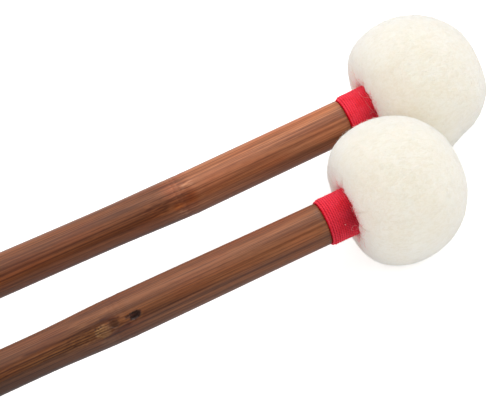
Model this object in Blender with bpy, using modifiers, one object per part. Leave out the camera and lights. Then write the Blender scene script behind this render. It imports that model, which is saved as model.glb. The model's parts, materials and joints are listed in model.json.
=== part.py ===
"""A pair of timpani mallets lying side by side: bamboo shafts, layered felt heads, thread bindings.

Each mallet is built upright in its own frame, with the tip of its head at +Z and the widest
section of its felt at the origin. An empty then lays it down along +X, head and butt on Z = 0.
A distance along a shaft is counted from the middle of the head towards the butt.
"""

import math
from dataclasses import dataclass

import bmesh
import bpy
from mathutils import Matrix, Vector

# The whole mallet, and the clearance kept between pieces that touch
MALLET_LENGTH = 0.380
GAP = 0.0003

# Turned core and the felt stacked round it
CORE_DIAMETER = 0.0198
CORE_LENGTH = 0.0166
CORE_CHAMFER = 0.0010
CORE_FRONT_WALL = 0.0018
ROLL_FELT = 0.0027
PAD_FELT = 0.0020
STACK_CORNER = 0.0047

# Firm felt liner, gathered round the stack and tied at the back
LINER_SIDE_FELT = 0.0048
LINER_FRONT_FELT = 0.0044
LINER_BACK_FELT = 0.0021
LINER_NECK_FELT = 0.0010
LINER_NECK_LENGTH = 0.0016
TIE_THREAD = 0.0008

# Soft outer cover, drawn over the liner and gathered into a neck under the binding
COVER_FELT = 0.0050
COVER_BACK_FELT = 0.0041
COVER_LIP_DEPTH = 0.0013
COVER_LIP_WIDTH = 0.0021
NECK_FELT = 0.00077
GATHERS = 9
GATHER_DEPTH = 0.00035
RESTING_FLAT = 0.0005

# Thread binding over the cover's neck
BINDING_LENGTH = 0.0090
BINDING_THREAD = 0.00028
BINDING_TURNS = 12
BINDING_FLARE = 0.00025

# What both bamboo culms share
HEAD_END_DIAMETER = 0.0133
SEAT_DEPTH = 0.00135
LUMEN_DIAMETER = 0.0060
DIAPHRAGM = 0.0030
NODE_FALL = 0.030
SHOULDER_CHAMFER = 0.0003
BUTT_ROUNDING = 0.0008
DOWEL_LENGTH = 0.040
DOWEL_TIP = 0.0045
PLUG_LENGTH = 0.012

# The front culm
FRONT_NODE_DIAMETER = 0.0140
FRONT_WAIST_DIAMETER = 0.0127
FRONT_FIRST_NODE = 0.091
FRONT_NODE_SPACING = 0.125
FRONT_CROOK = math.radians(0.4)

# The back culm
BACK_NODE_DIAMETER = 0.01354
BACK_WAIST_DIAMETER = 0.0128
BACK_FIRST_NODE = 0.079
BACK_NODE_SPACING = 0.122
BACK_CROOK = math.radians(2.4)

# Marks of the bud and the trimmed branch at the front culm's first node
BUD_HOLE_LENGTH = 0.0035
BUD_HOLE_WIDTH = 0.0026
BUD_HOLE_DEPTH = 0.0012
BUD_BEFORE_NODE = 0.002
BUD_ANGLE = math.radians(53)
BRANCH_SCAR_LENGTH = 0.0052
BRANCH_SCAR_WIDTH = 0.0036
BRANCH_SCAR_DEPTH = 0.0005
SCAR_PAST_NODE = 0.007
SCAR_ANGLE = math.radians(56)

# How the pair lies
PAIR_LEAD = 0.0248
HEAD_CLEARANCE = 0.0006
BACK_YAW = math.radians(0.7)

# Fineness of the faceted solids, and how sharply a dome turns into its pressed back
COVER_SIDES = 36
INNER_SIDES = 18
DOWEL_SIDES = 12
TIE_SIDES = 6
SHAFT_SIDES = 20
SHAFT_RING_STEP = 0.012
TURN_POINTS = 24
DOME_FRONT_RINGS = 8
DOME_BACK_RINGS = 4
DOME_SHARPNESS = 20
MARK_SIDES = 12
MARK_RINGS = 8
SHARP_ANGLE = math.radians(40)

# The stack's half height and radius
STACK_HALF = CORE_LENGTH / 2 + GAP + PAD_FELT
STACK_RADIUS = CORE_DIAMETER / 2 + GAP + ROLL_FELT

# The liner's outside, measured from the middle of the head
LINER_ACROSS = STACK_RADIUS + GAP + LINER_SIDE_FELT
LINER_FRONT = STACK_HALF + GAP + LINER_FRONT_FELT
LINER_BACK = STACK_HALF + GAP + LINER_BACK_FELT

# The cover's outside
COVER_ACROSS = LINER_ACROSS + GAP + COVER_FELT
COVER_FRONT = LINER_FRONT + GAP + COVER_FELT
COVER_BACK = LINER_BACK + GAP + COVER_BACK_FELT

# The shaft's seat in the neck, and everything that goes round it
SEAT_RADIUS = HEAD_END_DIAMETER / 2 - SEAT_DEPTH
BORE_RADIUS = SEAT_RADIUS + GAP
LINER_NECK_RADIUS = BORE_RADIUS + LINER_NECK_FELT
TIE_RING_RADIUS = LINER_NECK_RADIUS + GAP + TIE_THREAD / 2
POCKET_RADIUS = TIE_RING_RADIUS + TIE_THREAD / 2 + GAP
WINDING_RADIUS = BORE_RADIUS + NECK_FELT + GAP + BINDING_THREAD / 2
LIP_RADIUS = WINDING_RADIUS + BINDING_FLARE + BINDING_THREAD / 2
CREST_RADIUS = LIP_RADIUS + COVER_LIP_WIDTH

# Heights along the mallet's own axis
LIP_HEIGHT = COVER_LIP_DEPTH - COVER_BACK
BINDING_END = LIP_HEIGHT - BINDING_LENGTH
SHOULDER = GAP - BINDING_END
SHAFT_TOP = CORE_LENGTH / 2 - CORE_FRONT_WALL - GAP - DOWEL_TIP
DOWEL_RADIUS = LUMEN_DIAMETER / 2 - GAP
DOWEL_BOTTOM = SHAFT_TOP + DOWEL_TIP - DOWEL_LENGTH
BUTT = MALLET_LENGTH - COVER_FRONT

CREAM_FELT = (0.86, 0.82, 0.74, 1)
GREY_FELT = (0.62, 0.60, 0.56, 1)
RED_THREAD = (0.62, 0.02, 0.05, 1)
PALE_THREAD = (0.80, 0.75, 0.62, 1)
BAMBOO = (0.28, 0.12, 0.07, 1)
BEECH = (0.62, 0.42, 0.24, 1)
CORK = (0.52, 0.36, 0.20, 1)


@dataclass(frozen=True)
class Culm:
    """The bamboo of one mallet."""

    node_radius: float
    waist_radius: float
    first_node: float
    node_spacing: float
    crook: float

    def nodes(self):
        """Distances of the nodes, with the first one past the butt."""
        count = max(0, math.ceil((BUTT - self.first_node) / self.node_spacing)) + 1
        return [self.first_node + index * self.node_spacing for index in range(count)]

    def diaphragm_nodes(self):
        """First and last node that still close the culm, clear of its dowel and plug."""
        within = [node for node in self.nodes() if node < BUTT]
        return (within or self.nodes())[0], (within or self.nodes())[-1]

    def radius(self, distance):
        """Outside of the culm: it swells up to each node and falls to a waist just past it."""
        start = SHOULDER
        radius = HEAD_END_DIAMETER / 2
        for node in self.nodes():
            if distance <= node:
                return eased(radius, self.node_radius, (distance - start) / (node - start))
            if distance <= node + NODE_FALL:
                return eased(self.node_radius, self.waist_radius, (distance - node) / NODE_FALL)
            start = node + NODE_FALL
            radius = self.waist_radius
        return radius

    def offset(self, distance):
        """Sideways run of the middle line: a node turns it one way and the next one back."""
        offset = 0.0
        turn = math.tan(self.crook)
        for node in self.nodes():
            offset += turn * max(0.0, distance - node)
            turn = -turn
        return offset

    def rings(self):
        """Distances at which the outside has a ring of points, shoulder to butt."""
        keys = [SHOULDER + SHOULDER_CHAMFER, BUTT - BUTT_ROUNDING]
        for node in self.nodes():
            keys += [key for key in (node, node + NODE_FALL) if keys[0] < key < keys[1]]
        keys.sort()
        rings = [keys[0]]
        for low, high in zip(keys, keys[1:]):
            steps = max(1, math.ceil((high - low) / SHAFT_RING_STEP))
            rings += [low + (high - low) * step / steps for step in range(1, steps + 1)]
        return rings


def eased(start, end, share):
    """Value between start and end that leaves and arrives gently."""
    return start + (end - start) * (1 - math.cos(math.pi * min(1.0, max(0.0, share)))) / 2


def flattened(depth, limit):
    """Depth behind the middle of a head, pressed smoothly against a limit."""
    return limit / (1 + (limit / depth) ** DOME_SHARPNESS) ** (1 / DOME_SHARPNESS)


def dome(across, front, back, end_radius):
    """Outline of a head or liner from its tip, round its widest part, to end_radius at the back."""
    points = []
    for ring in range(DOME_FRONT_RINGS + 1):
        angle = math.pi / 2 * ring / DOME_FRONT_RINGS
        points.append((across * math.sin(angle), front * math.cos(angle)))
    last = math.pi - math.asin(end_radius / across)
    for ring in range(1, DOME_BACK_RINGS + 1):
        angle = math.pi / 2 + (last - math.pi / 2) * ring / DOME_BACK_RINGS
        points.append((across * math.sin(angle), -flattened(-front * math.cos(angle), back)))
    return points


# The liner's neck leaves its back here, and the tie lies just behind that
LINER_NECK_TOP = dome(LINER_ACROSS, LINER_FRONT, LINER_BACK, POCKET_RADIUS)[-1][1]
TIE_HEIGHT = LINER_NECK_TOP - GAP - TIE_THREAD / 2


def stack_radius(height):
    """Outside of the felt stack, which is a cylinder with rounded ends."""
    past = abs(height) - (STACK_HALF - STACK_CORNER)
    if past <= 0:
        return STACK_RADIUS
    return STACK_RADIUS - STACK_CORNER + math.sqrt(max(0.0, STACK_CORNER**2 - past**2))


def principled(name, colour, roughness):
    """Plain material of one piece."""
    material = bpy.data.materials.new(name)
    material.use_nodes = True
    shader = material.node_tree.nodes["Principled BSDF"]
    shader.inputs["Base Color"].default_value = colour
    shader.inputs["Roughness"].default_value = roughness
    material.diffuse_color = colour
    return material


def add_piece(name, data, mallet, colour, roughness):
    """Put a mesh or curve into the pair as a named piece of a mallet."""
    piece = bpy.data.objects.new(name, data)
    data.materials.append(principled(name, colour, roughness))
    piece.parent = mallet
    pieces.objects.link(piece)
    return piece


def turned(name, profile, sides, mallet, colour, roughness, ring=False):
    """Turn a profile of (radius, height) points round the mallet's axis."""
    bm = bmesh.new()
    points = [bm.verts.new((radius, 0, height)) for radius, height in profile]
    for start, end in zip(points, points[1:]):
        bm.edges.new((start, end))
    if ring:
        bm.edges.new((points[-1], points[0]))
    mesh = bpy.data.meshes.new(name)
    bm.to_mesh(mesh)
    bm.free()
    piece = add_piece(name, mesh, mallet, colour, roughness)
    screw = piece.modifiers.new("turn", "SCREW")
    screw.axis = "Z"
    screw.angle = 2 * math.pi
    screw.steps = screw.render_steps = sides
    screw.use_merge_vertices = True
    screw.merge_threshold = 0.00001
    screw.use_smooth_shade = True
    return piece


def made_solid(piece):
    """Keep the turned shape as the piece's own mesh, so that it can be bent or cut."""
    graph = bpy.context.evaluated_depsgraph_get()
    mesh = bpy.data.meshes.new_from_object(piece.evaluated_get(graph))
    piece.modifiers.clear()
    piece.data = mesh
    return mesh


def shaded_round(mesh):
    """Shade a mesh smooth except across its edges."""
    mesh.shade_smooth()
    mesh.set_sharp_from_angle(angle=SHARP_ANGLE)


def bent(piece, culm):
    """Let a piece in or on the culm follow its crooks."""
    mesh = made_solid(piece)
    for vertex in mesh.vertices:
        vertex.co.y += culm.offset(-vertex.co.z)
    shaded_round(mesh)


def cut(piece, cutter):
    """Take a cutter out of a piece."""
    boolean = piece.modifiers.new(cutter.name, "BOOLEAN")
    boolean.operation = "DIFFERENCE"
    boolean.solver = "EXACT"
    boolean.object = cutter


def add_cutter(name, bm, parent=None):
    """Wrap a bmesh as a cutter that isn't part of the pair."""
    mesh = bpy.data.meshes.new(name)
    bm.to_mesh(mesh)
    bm.free()
    cutter = bpy.data.objects.new(name, mesh)
    cutter.parent = parent
    cutter.hide_render = True
    cutter.display_type = "WIRE"
    cutters.objects.link(cutter)
    return cutter


def add_shaft(prefix, culm, mallet):
    """Bamboo culm, hollow from each end up to its nearest diaphragm, with a seat for the head."""
    first, last = culm.diaphragm_nodes()
    lumen = LUMEN_DIAMETER / 2
    head_floor = min(-(first - DIAPHRAGM / 2), DOWEL_BOTTOM - GAP)
    butt_floor = max(-(last + DIAPHRAGM / 2), PLUG_LENGTH + GAP - BUTT)
    profile = [(0, head_floor), (lumen, head_floor), (lumen, SHAFT_TOP), (SEAT_RADIUS, SHAFT_TOP)]
    profile.append((SEAT_RADIUS, -SHOULDER))
    profile.append((culm.radius(SHOULDER) - SHOULDER_CHAMFER, -SHOULDER))
    profile += [(culm.radius(distance), -distance) for distance in culm.rings()]
    profile += [(culm.radius(BUTT) - BUTT_ROUNDING, -BUTT), (lumen, -BUTT)]
    profile += [(lumen, butt_floor), (0, butt_floor)]
    shaft = turned(prefix + "_shaft", profile, SHAFT_SIDES, mallet, BAMBOO, 0.4)
    bent(shaft, culm)
    return shaft


def mark_culm(shaft, culm, mallet, name, distance, angle, size):
    """Hollow an oval mark into the culm, angle round from its top towards the front."""
    length, width, depth = size
    radius = culm.radius(distance)
    bm = bmesh.new()
    bmesh.ops.create_uvsphere(bm, u_segments=MARK_SIDES, v_segments=MARK_RINGS, radius=1)
    bmesh.ops.scale(bm, verts=bm.verts, vec=(depth, width / 2, length / 2))
    turn = Matrix.Rotation(math.pi + angle, 4, "Z")
    place = Matrix.Translation((0, culm.offset(distance), -distance))
    bmesh.ops.transform(bm, verts=bm.verts, matrix=place @ turn @ Matrix.Translation((radius, 0, 0)))
    cut(shaft, add_cutter(name, bm, mallet))


def add_butt_plug(prefix, culm, mallet):
    """Wooden plug that closes the lumen flush with the butt."""
    top = PLUG_LENGTH - BUTT
    profile = [(0, top), (DOWEL_RADIUS, top), (DOWEL_RADIUS, -BUTT), (0, -BUTT)]
    plug = turned(prefix + "_butt_plug", profile, DOWEL_SIDES, mallet, BEECH, 0.6)
    bent(plug, culm)


def add_head_dowel(prefix, mallet):
    """Wooden dowel glued into the lumen, which carries the core."""
    top = SHAFT_TOP + DOWEL_TIP
    profile = [(0, top), (DOWEL_RADIUS, top), (DOWEL_RADIUS, DOWEL_BOTTOM), (0, DOWEL_BOTTOM)]
    turned(prefix + "_head_dowel", profile, DOWEL_SIDES, mallet, BEECH, 0.6)


def add_core(prefix, mallet):
    """Turned core with a stepped blind bore for the shaft and its dowel."""
    radius = CORE_DIAMETER / 2
    half = CORE_LENGTH / 2
    bore_end = SHAFT_TOP + GAP
    tip_bore_end = half - CORE_FRONT_WALL
    profile = [(0, half), (radius - CORE_CHAMFER, half), (radius, half - CORE_CHAMFER)]
    profile += [(radius, CORE_CHAMFER - half), (radius - CORE_CHAMFER, -half), (BORE_RADIUS, -half)]
    profile += [(BORE_RADIUS, bore_end), (DOWEL_RADIUS + GAP, bore_end)]
    profile += [(DOWEL_RADIUS + GAP, tip_bore_end), (0, tip_bore_end)]
    turned(prefix + "_core", profile, INNER_SIDES, mallet, CORK, 0.8)


def add_felt_roll(prefix, mallet):
    """Strip of felt wound round the core."""
    half = CORE_LENGTH / 2
    corner = min(half, STACK_HALF - STACK_CORNER)
    levels = [half, (half + corner) / 2, corner, -corner, -(half + corner) / 2, -half]
    inner = CORE_DIAMETER / 2 + GAP
    profile = [(stack_radius(level), level) for level in levels] + [(inner, -half), (inner, half)]
    turned(prefix + "_felt_roll", profile, INNER_SIDES, mallet, GREY_FELT, 0.95, ring=True)


def pad_edge():
    """Rim of a pad as (radius, height) points, from its outer face to the one on the core."""
    inner = CORE_LENGTH / 2 + GAP
    levels = [STACK_HALF, STACK_HALF - PAD_FELT / 6, STACK_HALF - PAD_FELT / 2, inner]
    return [(stack_radius(level), level) for level in levels]


def add_tip_pad(prefix, mallet):
    """Felt disc on the front of the core."""
    profile = [(0, STACK_HALF)] + pad_edge() + [(0, CORE_LENGTH / 2 + GAP)]
    turned(prefix + "_tip_pad", profile, INNER_SIDES, mallet, GREY_FELT, 0.95)


def add_neck_pad(prefix, mallet):
    """Felt washer on the back of the core, round the shaft."""
    inner = CORE_LENGTH / 2 + GAP
    profile = [(radius, -level) for radius, level in reversed(pad_edge())]
    profile += [(BORE_RADIUS, -STACK_HALF), (BORE_RADIUS, -inner)]
    turned(prefix + "_neck_pad", profile, INNER_SIDES, mallet, GREY_FELT, 0.95, ring=True)


def add_liner(prefix, mallet):
    """Firm felt gathered round the stack, with a short neck on the shaft."""
    neck_end = LINER_NECK_TOP - LINER_NECK_LENGTH
    profile = dome(LINER_ACROSS, LINER_FRONT, LINER_BACK, POCKET_RADIUS)
    profile += [(LINER_NECK_RADIUS, LINER_NECK_TOP), (LINER_NECK_RADIUS, neck_end)]
    profile += [(BORE_RADIUS, neck_end), (BORE_RADIUS, -STACK_HALF - GAP)]
    middle = STACK_HALF - STACK_CORNER
    corner = STACK_CORNER + GAP
    angles = [math.radians(degrees) for degrees in (0, 30, 60, 90)]
    lower = [(STACK_RADIUS - STACK_CORNER + corner * math.sin(angle), -middle - corner * math.cos(angle))
             for angle in angles]
    upper = [(radius, -height) for radius, height in reversed(lower)]
    profile += lower + upper + [(0, STACK_HALF + GAP)]
    turned(prefix + "_liner", profile, INNER_SIDES, mallet, GREY_FELT, 0.95)


def add_liner_tie(prefix, mallet):
    """Thread that ties the liner's neck to the shaft."""
    radius = TIE_THREAD / 2
    profile = []
    for step in range(TIE_SIDES):
        angle = math.pi / 2 - 2 * math.pi * step / TIE_SIDES
        profile.append((TIE_RING_RADIUS + radius * math.cos(angle), TIE_HEIGHT + radius * math.sin(angle)))
    turned(prefix + "_liner_tie", profile, INNER_SIDES, mallet, PALE_THREAD, 0.8, ring=True)


def neck_radius(height):
    """Outside of the cover's neck under the binding, wider towards the head."""
    share = (height - BINDING_END) / BINDING_LENGTH
    return BORE_RADIUS + NECK_FELT + BINDING_FLARE * share


def add_outer_cover(prefix, mallet, table):
    """Soft felt cover with a gathered back and a neck, pressed flat where it rests."""
    outside = dome(COVER_ACROSS, COVER_FRONT, COVER_BACK, CREST_RADIUS)
    crest = outside[-1][1]
    for degrees in (30, 60, 90):
        angle = math.radians(degrees)
        radius = CREST_RADIUS - COVER_LIP_WIDTH * math.sin(angle)
        outside.append((radius, crest + (LIP_HEIGHT - crest) * (1 - math.cos(angle))))
    pocket_floor = min(LINER_NECK_TOP - LINER_NECK_LENGTH, TIE_HEIGHT - TIE_THREAD / 2) - GAP
    neck = [(neck_radius(LIP_HEIGHT), LIP_HEIGHT), (neck_radius(BINDING_END), BINDING_END)]
    neck += [(BORE_RADIUS, BINDING_END), (BORE_RADIUS, pocket_floor), (POCKET_RADIUS, pocket_floor)]
    inside = dome(LINER_ACROSS + GAP, LINER_FRONT + GAP, LINER_BACK + GAP, POCKET_RADIUS)
    cover = turned(prefix + "_outer_cover", outside + neck + inside[::-1], COVER_SIDES, mallet,
                   CREAM_FELT, 0.95)
    mesh = made_solid(cover)
    gather(mesh)
    shaded_round(mesh)
    cut(cover, table)


def gather(mesh):
    """Raise the folds that run from the cover's neck over its back."""
    reach = (COVER_ACROSS - CREST_RADIUS) / 2
    for vertex in mesh.vertices:
        radius = math.hypot(vertex.co.x, vertex.co.y)
        share = (radius - CREST_RADIUS) / reach
        behind_liner = vertex.co.z < -LINER_BACK - GAP
        if behind_liner and POCKET_RADIUS + GAP < radius and share < 1:
            fold = math.cos(GATHERS * math.atan2(vertex.co.y, vertex.co.x))
            vertex.co.z += GATHER_DEPTH * fold * (1 - max(0.0, share))


def add_binding(prefix, mallet):
    """Thread wound over the cover's neck in one layer, as one unbroken tube."""
    top = LIP_HEIGHT - GAP - BINDING_THREAD / 2
    bottom = BINDING_END + BINDING_THREAD / 2
    steps = BINDING_TURNS * TURN_POINTS
    points = []
    for step in range(steps + 1):
        share = step / steps
        height = bottom + (top - bottom) * share
        radius = neck_radius(height) + GAP + BINDING_THREAD / 2
        angle = 2 * math.pi * step / TURN_POINTS
        points.append(Vector((radius * math.cos(angle), radius * math.sin(angle), height)))
    start = points[0] + (points[0] - points[1]).normalized() * BINDING_THREAD
    end = points[-1] + (points[-1] - points[-2]).normalized() * BINDING_THREAD
    gap = least_own_gap(points)
    print(f"{prefix} binding: {BINDING_TURNS} turns, least gap to itself {gap * 1000:.2f} mm")
    curve = bpy.data.curves.new(prefix + "_binding", "CURVE")
    curve.dimensions = "3D"
    curve.bevel_depth = BINDING_THREAD / 2
    curve.bevel_resolution = 1
    curve.use_fill_caps = True
    spline = curve.splines.new("POLY")
    route = [start] + points + [end]
    spline.points.add(len(route) - 1)
    for place, point in zip(spline.points, route):
        place.co = (*point, 1)
    spline.use_smooth = True
    add_piece(prefix + "_binding", curve, mallet, RED_THREAD, 0.6)


def least_own_gap(points):
    """Least distance between the surfaces of stretches half a turn or more apart."""
    least = math.inf
    for index, point in enumerate(points):
        for other in points[index + TURN_POINTS // 2:index + 2 * TURN_POINTS]:
            least = min(least, (point - other).length)
    return least - BINDING_THREAD


def head_drop(tilt):
    """Height of a head's middle over the surface when its mallet is tilted."""
    drop = math.hypot(COVER_FRONT * math.sin(tilt), COVER_ACROSS * math.cos(tilt))
    return drop - RESTING_FLAT


def resting_tilt(culm):
    """Slope of a mallet that touches the surface with its head and one ring of its culm."""
    tilts = []
    for distance in culm.rings():
        tilt = 0.0
        for _ in range(20):
            rise = head_drop(tilt) - culm.radius(distance) * math.cos(tilt)
            tilt = math.asin(rise / distance)
        tilts.append(tilt)
    return min(tilts)


def lay_down(name, culm, forward, sideways, yaw):
    """Empty that carries one mallet, its head's middle over (forward, sideways)."""
    tilt = resting_tilt(culm)
    mallet = bpy.data.objects.new(name, None)
    mallet.parent = pair
    mallet.location = (forward, sideways, head_drop(tilt))
    mallet.rotation_euler = (0, math.pi / 2 - tilt, yaw)
    pieces.objects.link(mallet)
    return mallet


def build_mallet(prefix, culm, mallet, table):
    """All pieces of one mallet, from the butt to the binding."""
    shaft = add_shaft(prefix, culm, mallet)
    add_butt_plug(prefix, culm, mallet)
    add_head_dowel(prefix, mallet)
    add_core(prefix, mallet)
    add_felt_roll(prefix, mallet)
    add_tip_pad(prefix, mallet)
    add_neck_pad(prefix, mallet)
    add_liner(prefix, mallet)
    add_liner_tie(prefix, mallet)
    add_outer_cover(prefix, mallet, table)
    add_binding(prefix, mallet)
    return shaft


def add_table():
    """Cutter whose top is the surface that the pair lies on."""
    bm = bmesh.new()
    bmesh.ops.create_cube(bm, size=1)
    depth = COVER_ACROSS
    size = Matrix.Diagonal((2 * MALLET_LENGTH, 2 * MALLET_LENGTH, depth, 1))
    bmesh.ops.transform(bm, verts=bm.verts, matrix=Matrix.Translation((0, 0, -depth / 2)) @ size)
    return add_cutter("resting_surface", bm)


def centre_pair():
    """Bring the middle of the pair's footprint over the origin."""
    bpy.context.view_layer.update()
    graph = bpy.context.evaluated_depsgraph_get()
    corners = []
    for piece in pieces.objects:
        if piece.type == "EMPTY":
            continue
        evaluated = piece.evaluated_get(graph)
        mesh = evaluated.to_mesh()
        corners += [evaluated.matrix_world @ vertex.co for vertex in mesh.vertices]
        evaluated.to_mesh_clear()
    for axis in (0, 1):
        values = [corner[axis] for corner in corners]
        pair.location[axis] = -(min(values) + max(values)) / 2


for old in list(bpy.data.objects):
    bpy.data.objects.remove(old, do_unlink=True)

pieces = bpy.data.collections.new("timpani_mallets")
cutters = bpy.data.collections.new("cutters")
bpy.context.scene.collection.children.link(pieces)
bpy.context.scene.collection.children.link(cutters)
pair = bpy.data.objects.new("pair", None)
pieces.objects.link(pair)

front_culm = Culm(FRONT_NODE_DIAMETER / 2, FRONT_WAIST_DIAMETER / 2, FRONT_FIRST_NODE,
                  FRONT_NODE_SPACING, FRONT_CROOK)
back_culm = Culm(BACK_NODE_DIAMETER / 2, BACK_WAIST_DIAMETER / 2, BACK_FIRST_NODE,
                 BACK_NODE_SPACING, BACK_CROOK)
lead_share = PAIR_LEAD / (2 * COVER_FRONT)
pair_spacing = 2 * COVER_ACROSS * math.sqrt(max(0.0, 1 - lead_share**2)) + HEAD_CLEARANCE
front_mallet = lay_down("front_mallet", front_culm, 0, 0, 0)
back_mallet = lay_down("back_mallet", back_culm, PAIR_LEAD, pair_spacing, BACK_YAW)
surface = add_table()

front_shaft = build_mallet("front", front_culm, front_mallet, surface)
build_mallet("back", back_culm, back_mallet, surface)
mark_culm(front_shaft, front_culm, front_mallet, "bud_hole", FRONT_FIRST_NODE - BUD_BEFORE_NODE,
          BUD_ANGLE, (BUD_HOLE_LENGTH, BUD_HOLE_WIDTH, BUD_HOLE_DEPTH))
mark_culm(front_shaft, front_culm, front_mallet, "branch_scar", FRONT_FIRST_NODE + SCAR_PAST_NODE,
          SCAR_ANGLE, (BRANCH_SCAR_LENGTH, BRANCH_SCAR_WIDTH, BRANCH_SCAR_DEPTH))
centre_pair()
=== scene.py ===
import json
import math
import random

import bmesh
import bpy
import numpy as np
from mathutils import Matrix, Vector, noise


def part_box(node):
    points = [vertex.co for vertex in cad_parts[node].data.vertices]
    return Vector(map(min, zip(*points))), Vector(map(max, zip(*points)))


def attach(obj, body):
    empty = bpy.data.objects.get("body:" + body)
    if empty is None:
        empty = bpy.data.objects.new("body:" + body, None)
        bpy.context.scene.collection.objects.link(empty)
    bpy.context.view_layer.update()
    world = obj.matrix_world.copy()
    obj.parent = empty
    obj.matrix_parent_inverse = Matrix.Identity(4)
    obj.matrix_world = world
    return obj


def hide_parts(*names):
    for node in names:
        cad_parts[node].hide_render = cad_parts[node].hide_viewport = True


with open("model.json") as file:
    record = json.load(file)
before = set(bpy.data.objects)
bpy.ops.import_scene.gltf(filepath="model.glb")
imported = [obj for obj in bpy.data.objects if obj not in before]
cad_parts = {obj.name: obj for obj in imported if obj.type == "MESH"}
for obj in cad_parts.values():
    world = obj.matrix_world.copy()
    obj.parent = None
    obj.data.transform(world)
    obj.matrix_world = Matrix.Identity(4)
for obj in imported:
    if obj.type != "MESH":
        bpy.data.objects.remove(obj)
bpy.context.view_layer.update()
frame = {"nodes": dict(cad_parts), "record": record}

# Bamboo shafts
# Each mallet is one length of thick-walled, heat-darkened cane, sanded nearly flush at its nodes.
# Its head end is turned down to a seat for the head; the butt is cut square and its rim is rounded.
HEAD_END_RADIUS = 0.00665
SEAT_RADIUS = 0.0053
SEAT_TOP = 0.0017
SHOULDER = 0.0254
SHOULDER_CHAMFER = 0.0003
LUMEN_RADIUS = 0.0030
BUTT_ROUNDING = 0.0008
NODE_FALL = 0.030
DIAPHRAGM_HALF = 0.0015
CULMS = {
    "front": {"node_radius": 0.0070, "waist_radius": 0.00635, "nodes": (0.091, 0.216, 0.341),
              "crook": math.radians(0.4), "seed": 3.0, "fine": (0.0850, 0.1120)},
    "back": {"node_radius": 0.00677, "waist_radius": 0.0064, "nodes": (0.079, 0.201, 0.323),
             "crook": math.radians(2.4), "seed": 11.0, "fine": (0.0745, 0.0962)},
}
CANE_SIDES = 216
CANE_STEP = 0.0020
FINE_STEP = 0.00022
NODE_STEP = 0.0004
NODE_REACH = 0.0040
GLANCE = 0.0001


def lie(prefix):
    """Where a mallet lies: +Z towards its tip, +X down, the middle of its head at the origin."""
    low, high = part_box(prefix + "_core")
    mounts = {mount["name"]: mount for mount in frame["record"]["mounts"]}
    tip = -Vector(mounts[prefix + "_butt_face"]["axis"]).normalized()
    across = Vector((0, 0, 1)).cross(tip).normalized()
    down = across.cross(tip)
    turn = Matrix((down, across, tip)).transposed().to_4x4()
    return Matrix.Translation((low + high) / 2) @ turn


def butt_distance(prefix):
    """Distance from the middle of the head to the butt face."""
    mounts = {mount["name"]: mount for mount in frame["record"]["mounts"]}
    place = lie(prefix).inverted() @ Vector(mounts[prefix + "_butt_face"]["pos_m"])
    return -place.z


def eased(start, end, share):
    """Value between start and end that leaves and arrives gently."""
    return start + (end - start) * (1 - np.cos(np.pi * np.clip(share, 0, 1))) / 2


def culm_radius(culm, distance):
    """Outside of a cane: it swells up to each node and falls to a waist just past it."""
    distance = np.asarray(distance, float)
    radius = np.full(distance.shape, HEAD_END_RADIUS)
    start = SHOULDER
    start_radius = HEAD_END_RADIUS
    for node in culm["nodes"]:
        rise = eased(start_radius, culm["node_radius"], (distance - start) / (node - start))
        radius = np.where(distance > start, rise, radius)
        fall = eased(culm["node_radius"], culm["waist_radius"], (distance - node) / NODE_FALL)
        radius = np.where(distance > node, fall, radius)
        start = node + NODE_FALL
        start_radius = culm["waist_radius"]
    return radius


def culm_offset(culm, distance):
    """Sideways run of a cane's middle line: a node turns it one way and the next one back."""
    offset = np.zeros(np.shape(distance))
    turn = math.tan(culm["crook"])
    for node in culm["nodes"]:
        offset = offset + turn * np.maximum(0, distance - node)
        turn = -turn
    return offset


def turned(profile, steps):
    """Turn an outline of (radius, height) points round the mallet's axis, a quarter at a time."""
    bm = bmesh.new()
    points = [bm.verts.new((radius, 0, height)) for radius, height in profile]
    for start, end in zip(points, points[1:]):
        bm.edges.new((start, end))
    if profile[0][0] > 0:
        bm.edges.new((points[-1], points[0]))
    bmesh.ops.spin(bm, geom=bm.verts[:] + bm.edges[:], cent=(0, 0, 0), axis=(0, 0, 1), dvec=(0, 0, 0),
                   angle=math.pi / 2, steps=steps // 4, use_merge=False, use_duplicate=False)
    quarter = bpy.data.meshes.new("quarter")
    bm.to_mesh(quarter)
    for _ in range(3):
        bmesh.ops.rotate(bm, verts=bm.verts[:], cent=(0, 0, 0), matrix=Matrix.Rotation(math.pi / 2, 3, "Z"))
        bm.from_mesh(quarter)
    bpy.data.meshes.remove(quarter)
    bmesh.ops.remove_doubles(bm, verts=bm.verts[:], dist=0.000002)
    bmesh.ops.recalc_face_normals(bm, faces=bm.faces[:])
    return bm


def as_mesh(bm, name):
    """Mesh of a bmesh, shaded smooth across all but its sharp edges."""
    mesh = bpy.data.meshes.new(name)
    bm.to_mesh(mesh)
    bm.free()
    mesh.shade_smooth()
    mesh.set_sharp_from_angle(angle=math.radians(50))
    return mesh


def points_of(mesh):
    """Corners of a mesh as rows of x, y, z."""
    places = np.empty(len(mesh.vertices) * 3, np.float32)
    mesh.vertices.foreach_get("co", places)
    return places.reshape(-1, 3).astype(float)


def set_points(mesh, places):
    """Move the corners of a mesh."""
    mesh.vertices.foreach_set("co", places.astype(np.float32).ravel())
    mesh.update()


def note(mesh, name, values):
    """Keep one number or one vector for each corner, for the material to read."""
    kind = "FLOAT" if values.ndim == 1 else "FLOAT_VECTOR"
    layer = mesh.attributes.new(name, kind, "POINT")
    layer.data.foreach_set("value" if kind == "FLOAT" else "vector", values.astype(np.float32).ravel())


def grainy(places, scale, seed):
    """Smooth noise between -1 and 1 at each of some places, with features of one over scale."""
    shift = Vector((seed, -seed, 2 * seed))
    return np.array([noise.noise(Vector(place) * scale + shift) for place in places])


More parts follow.
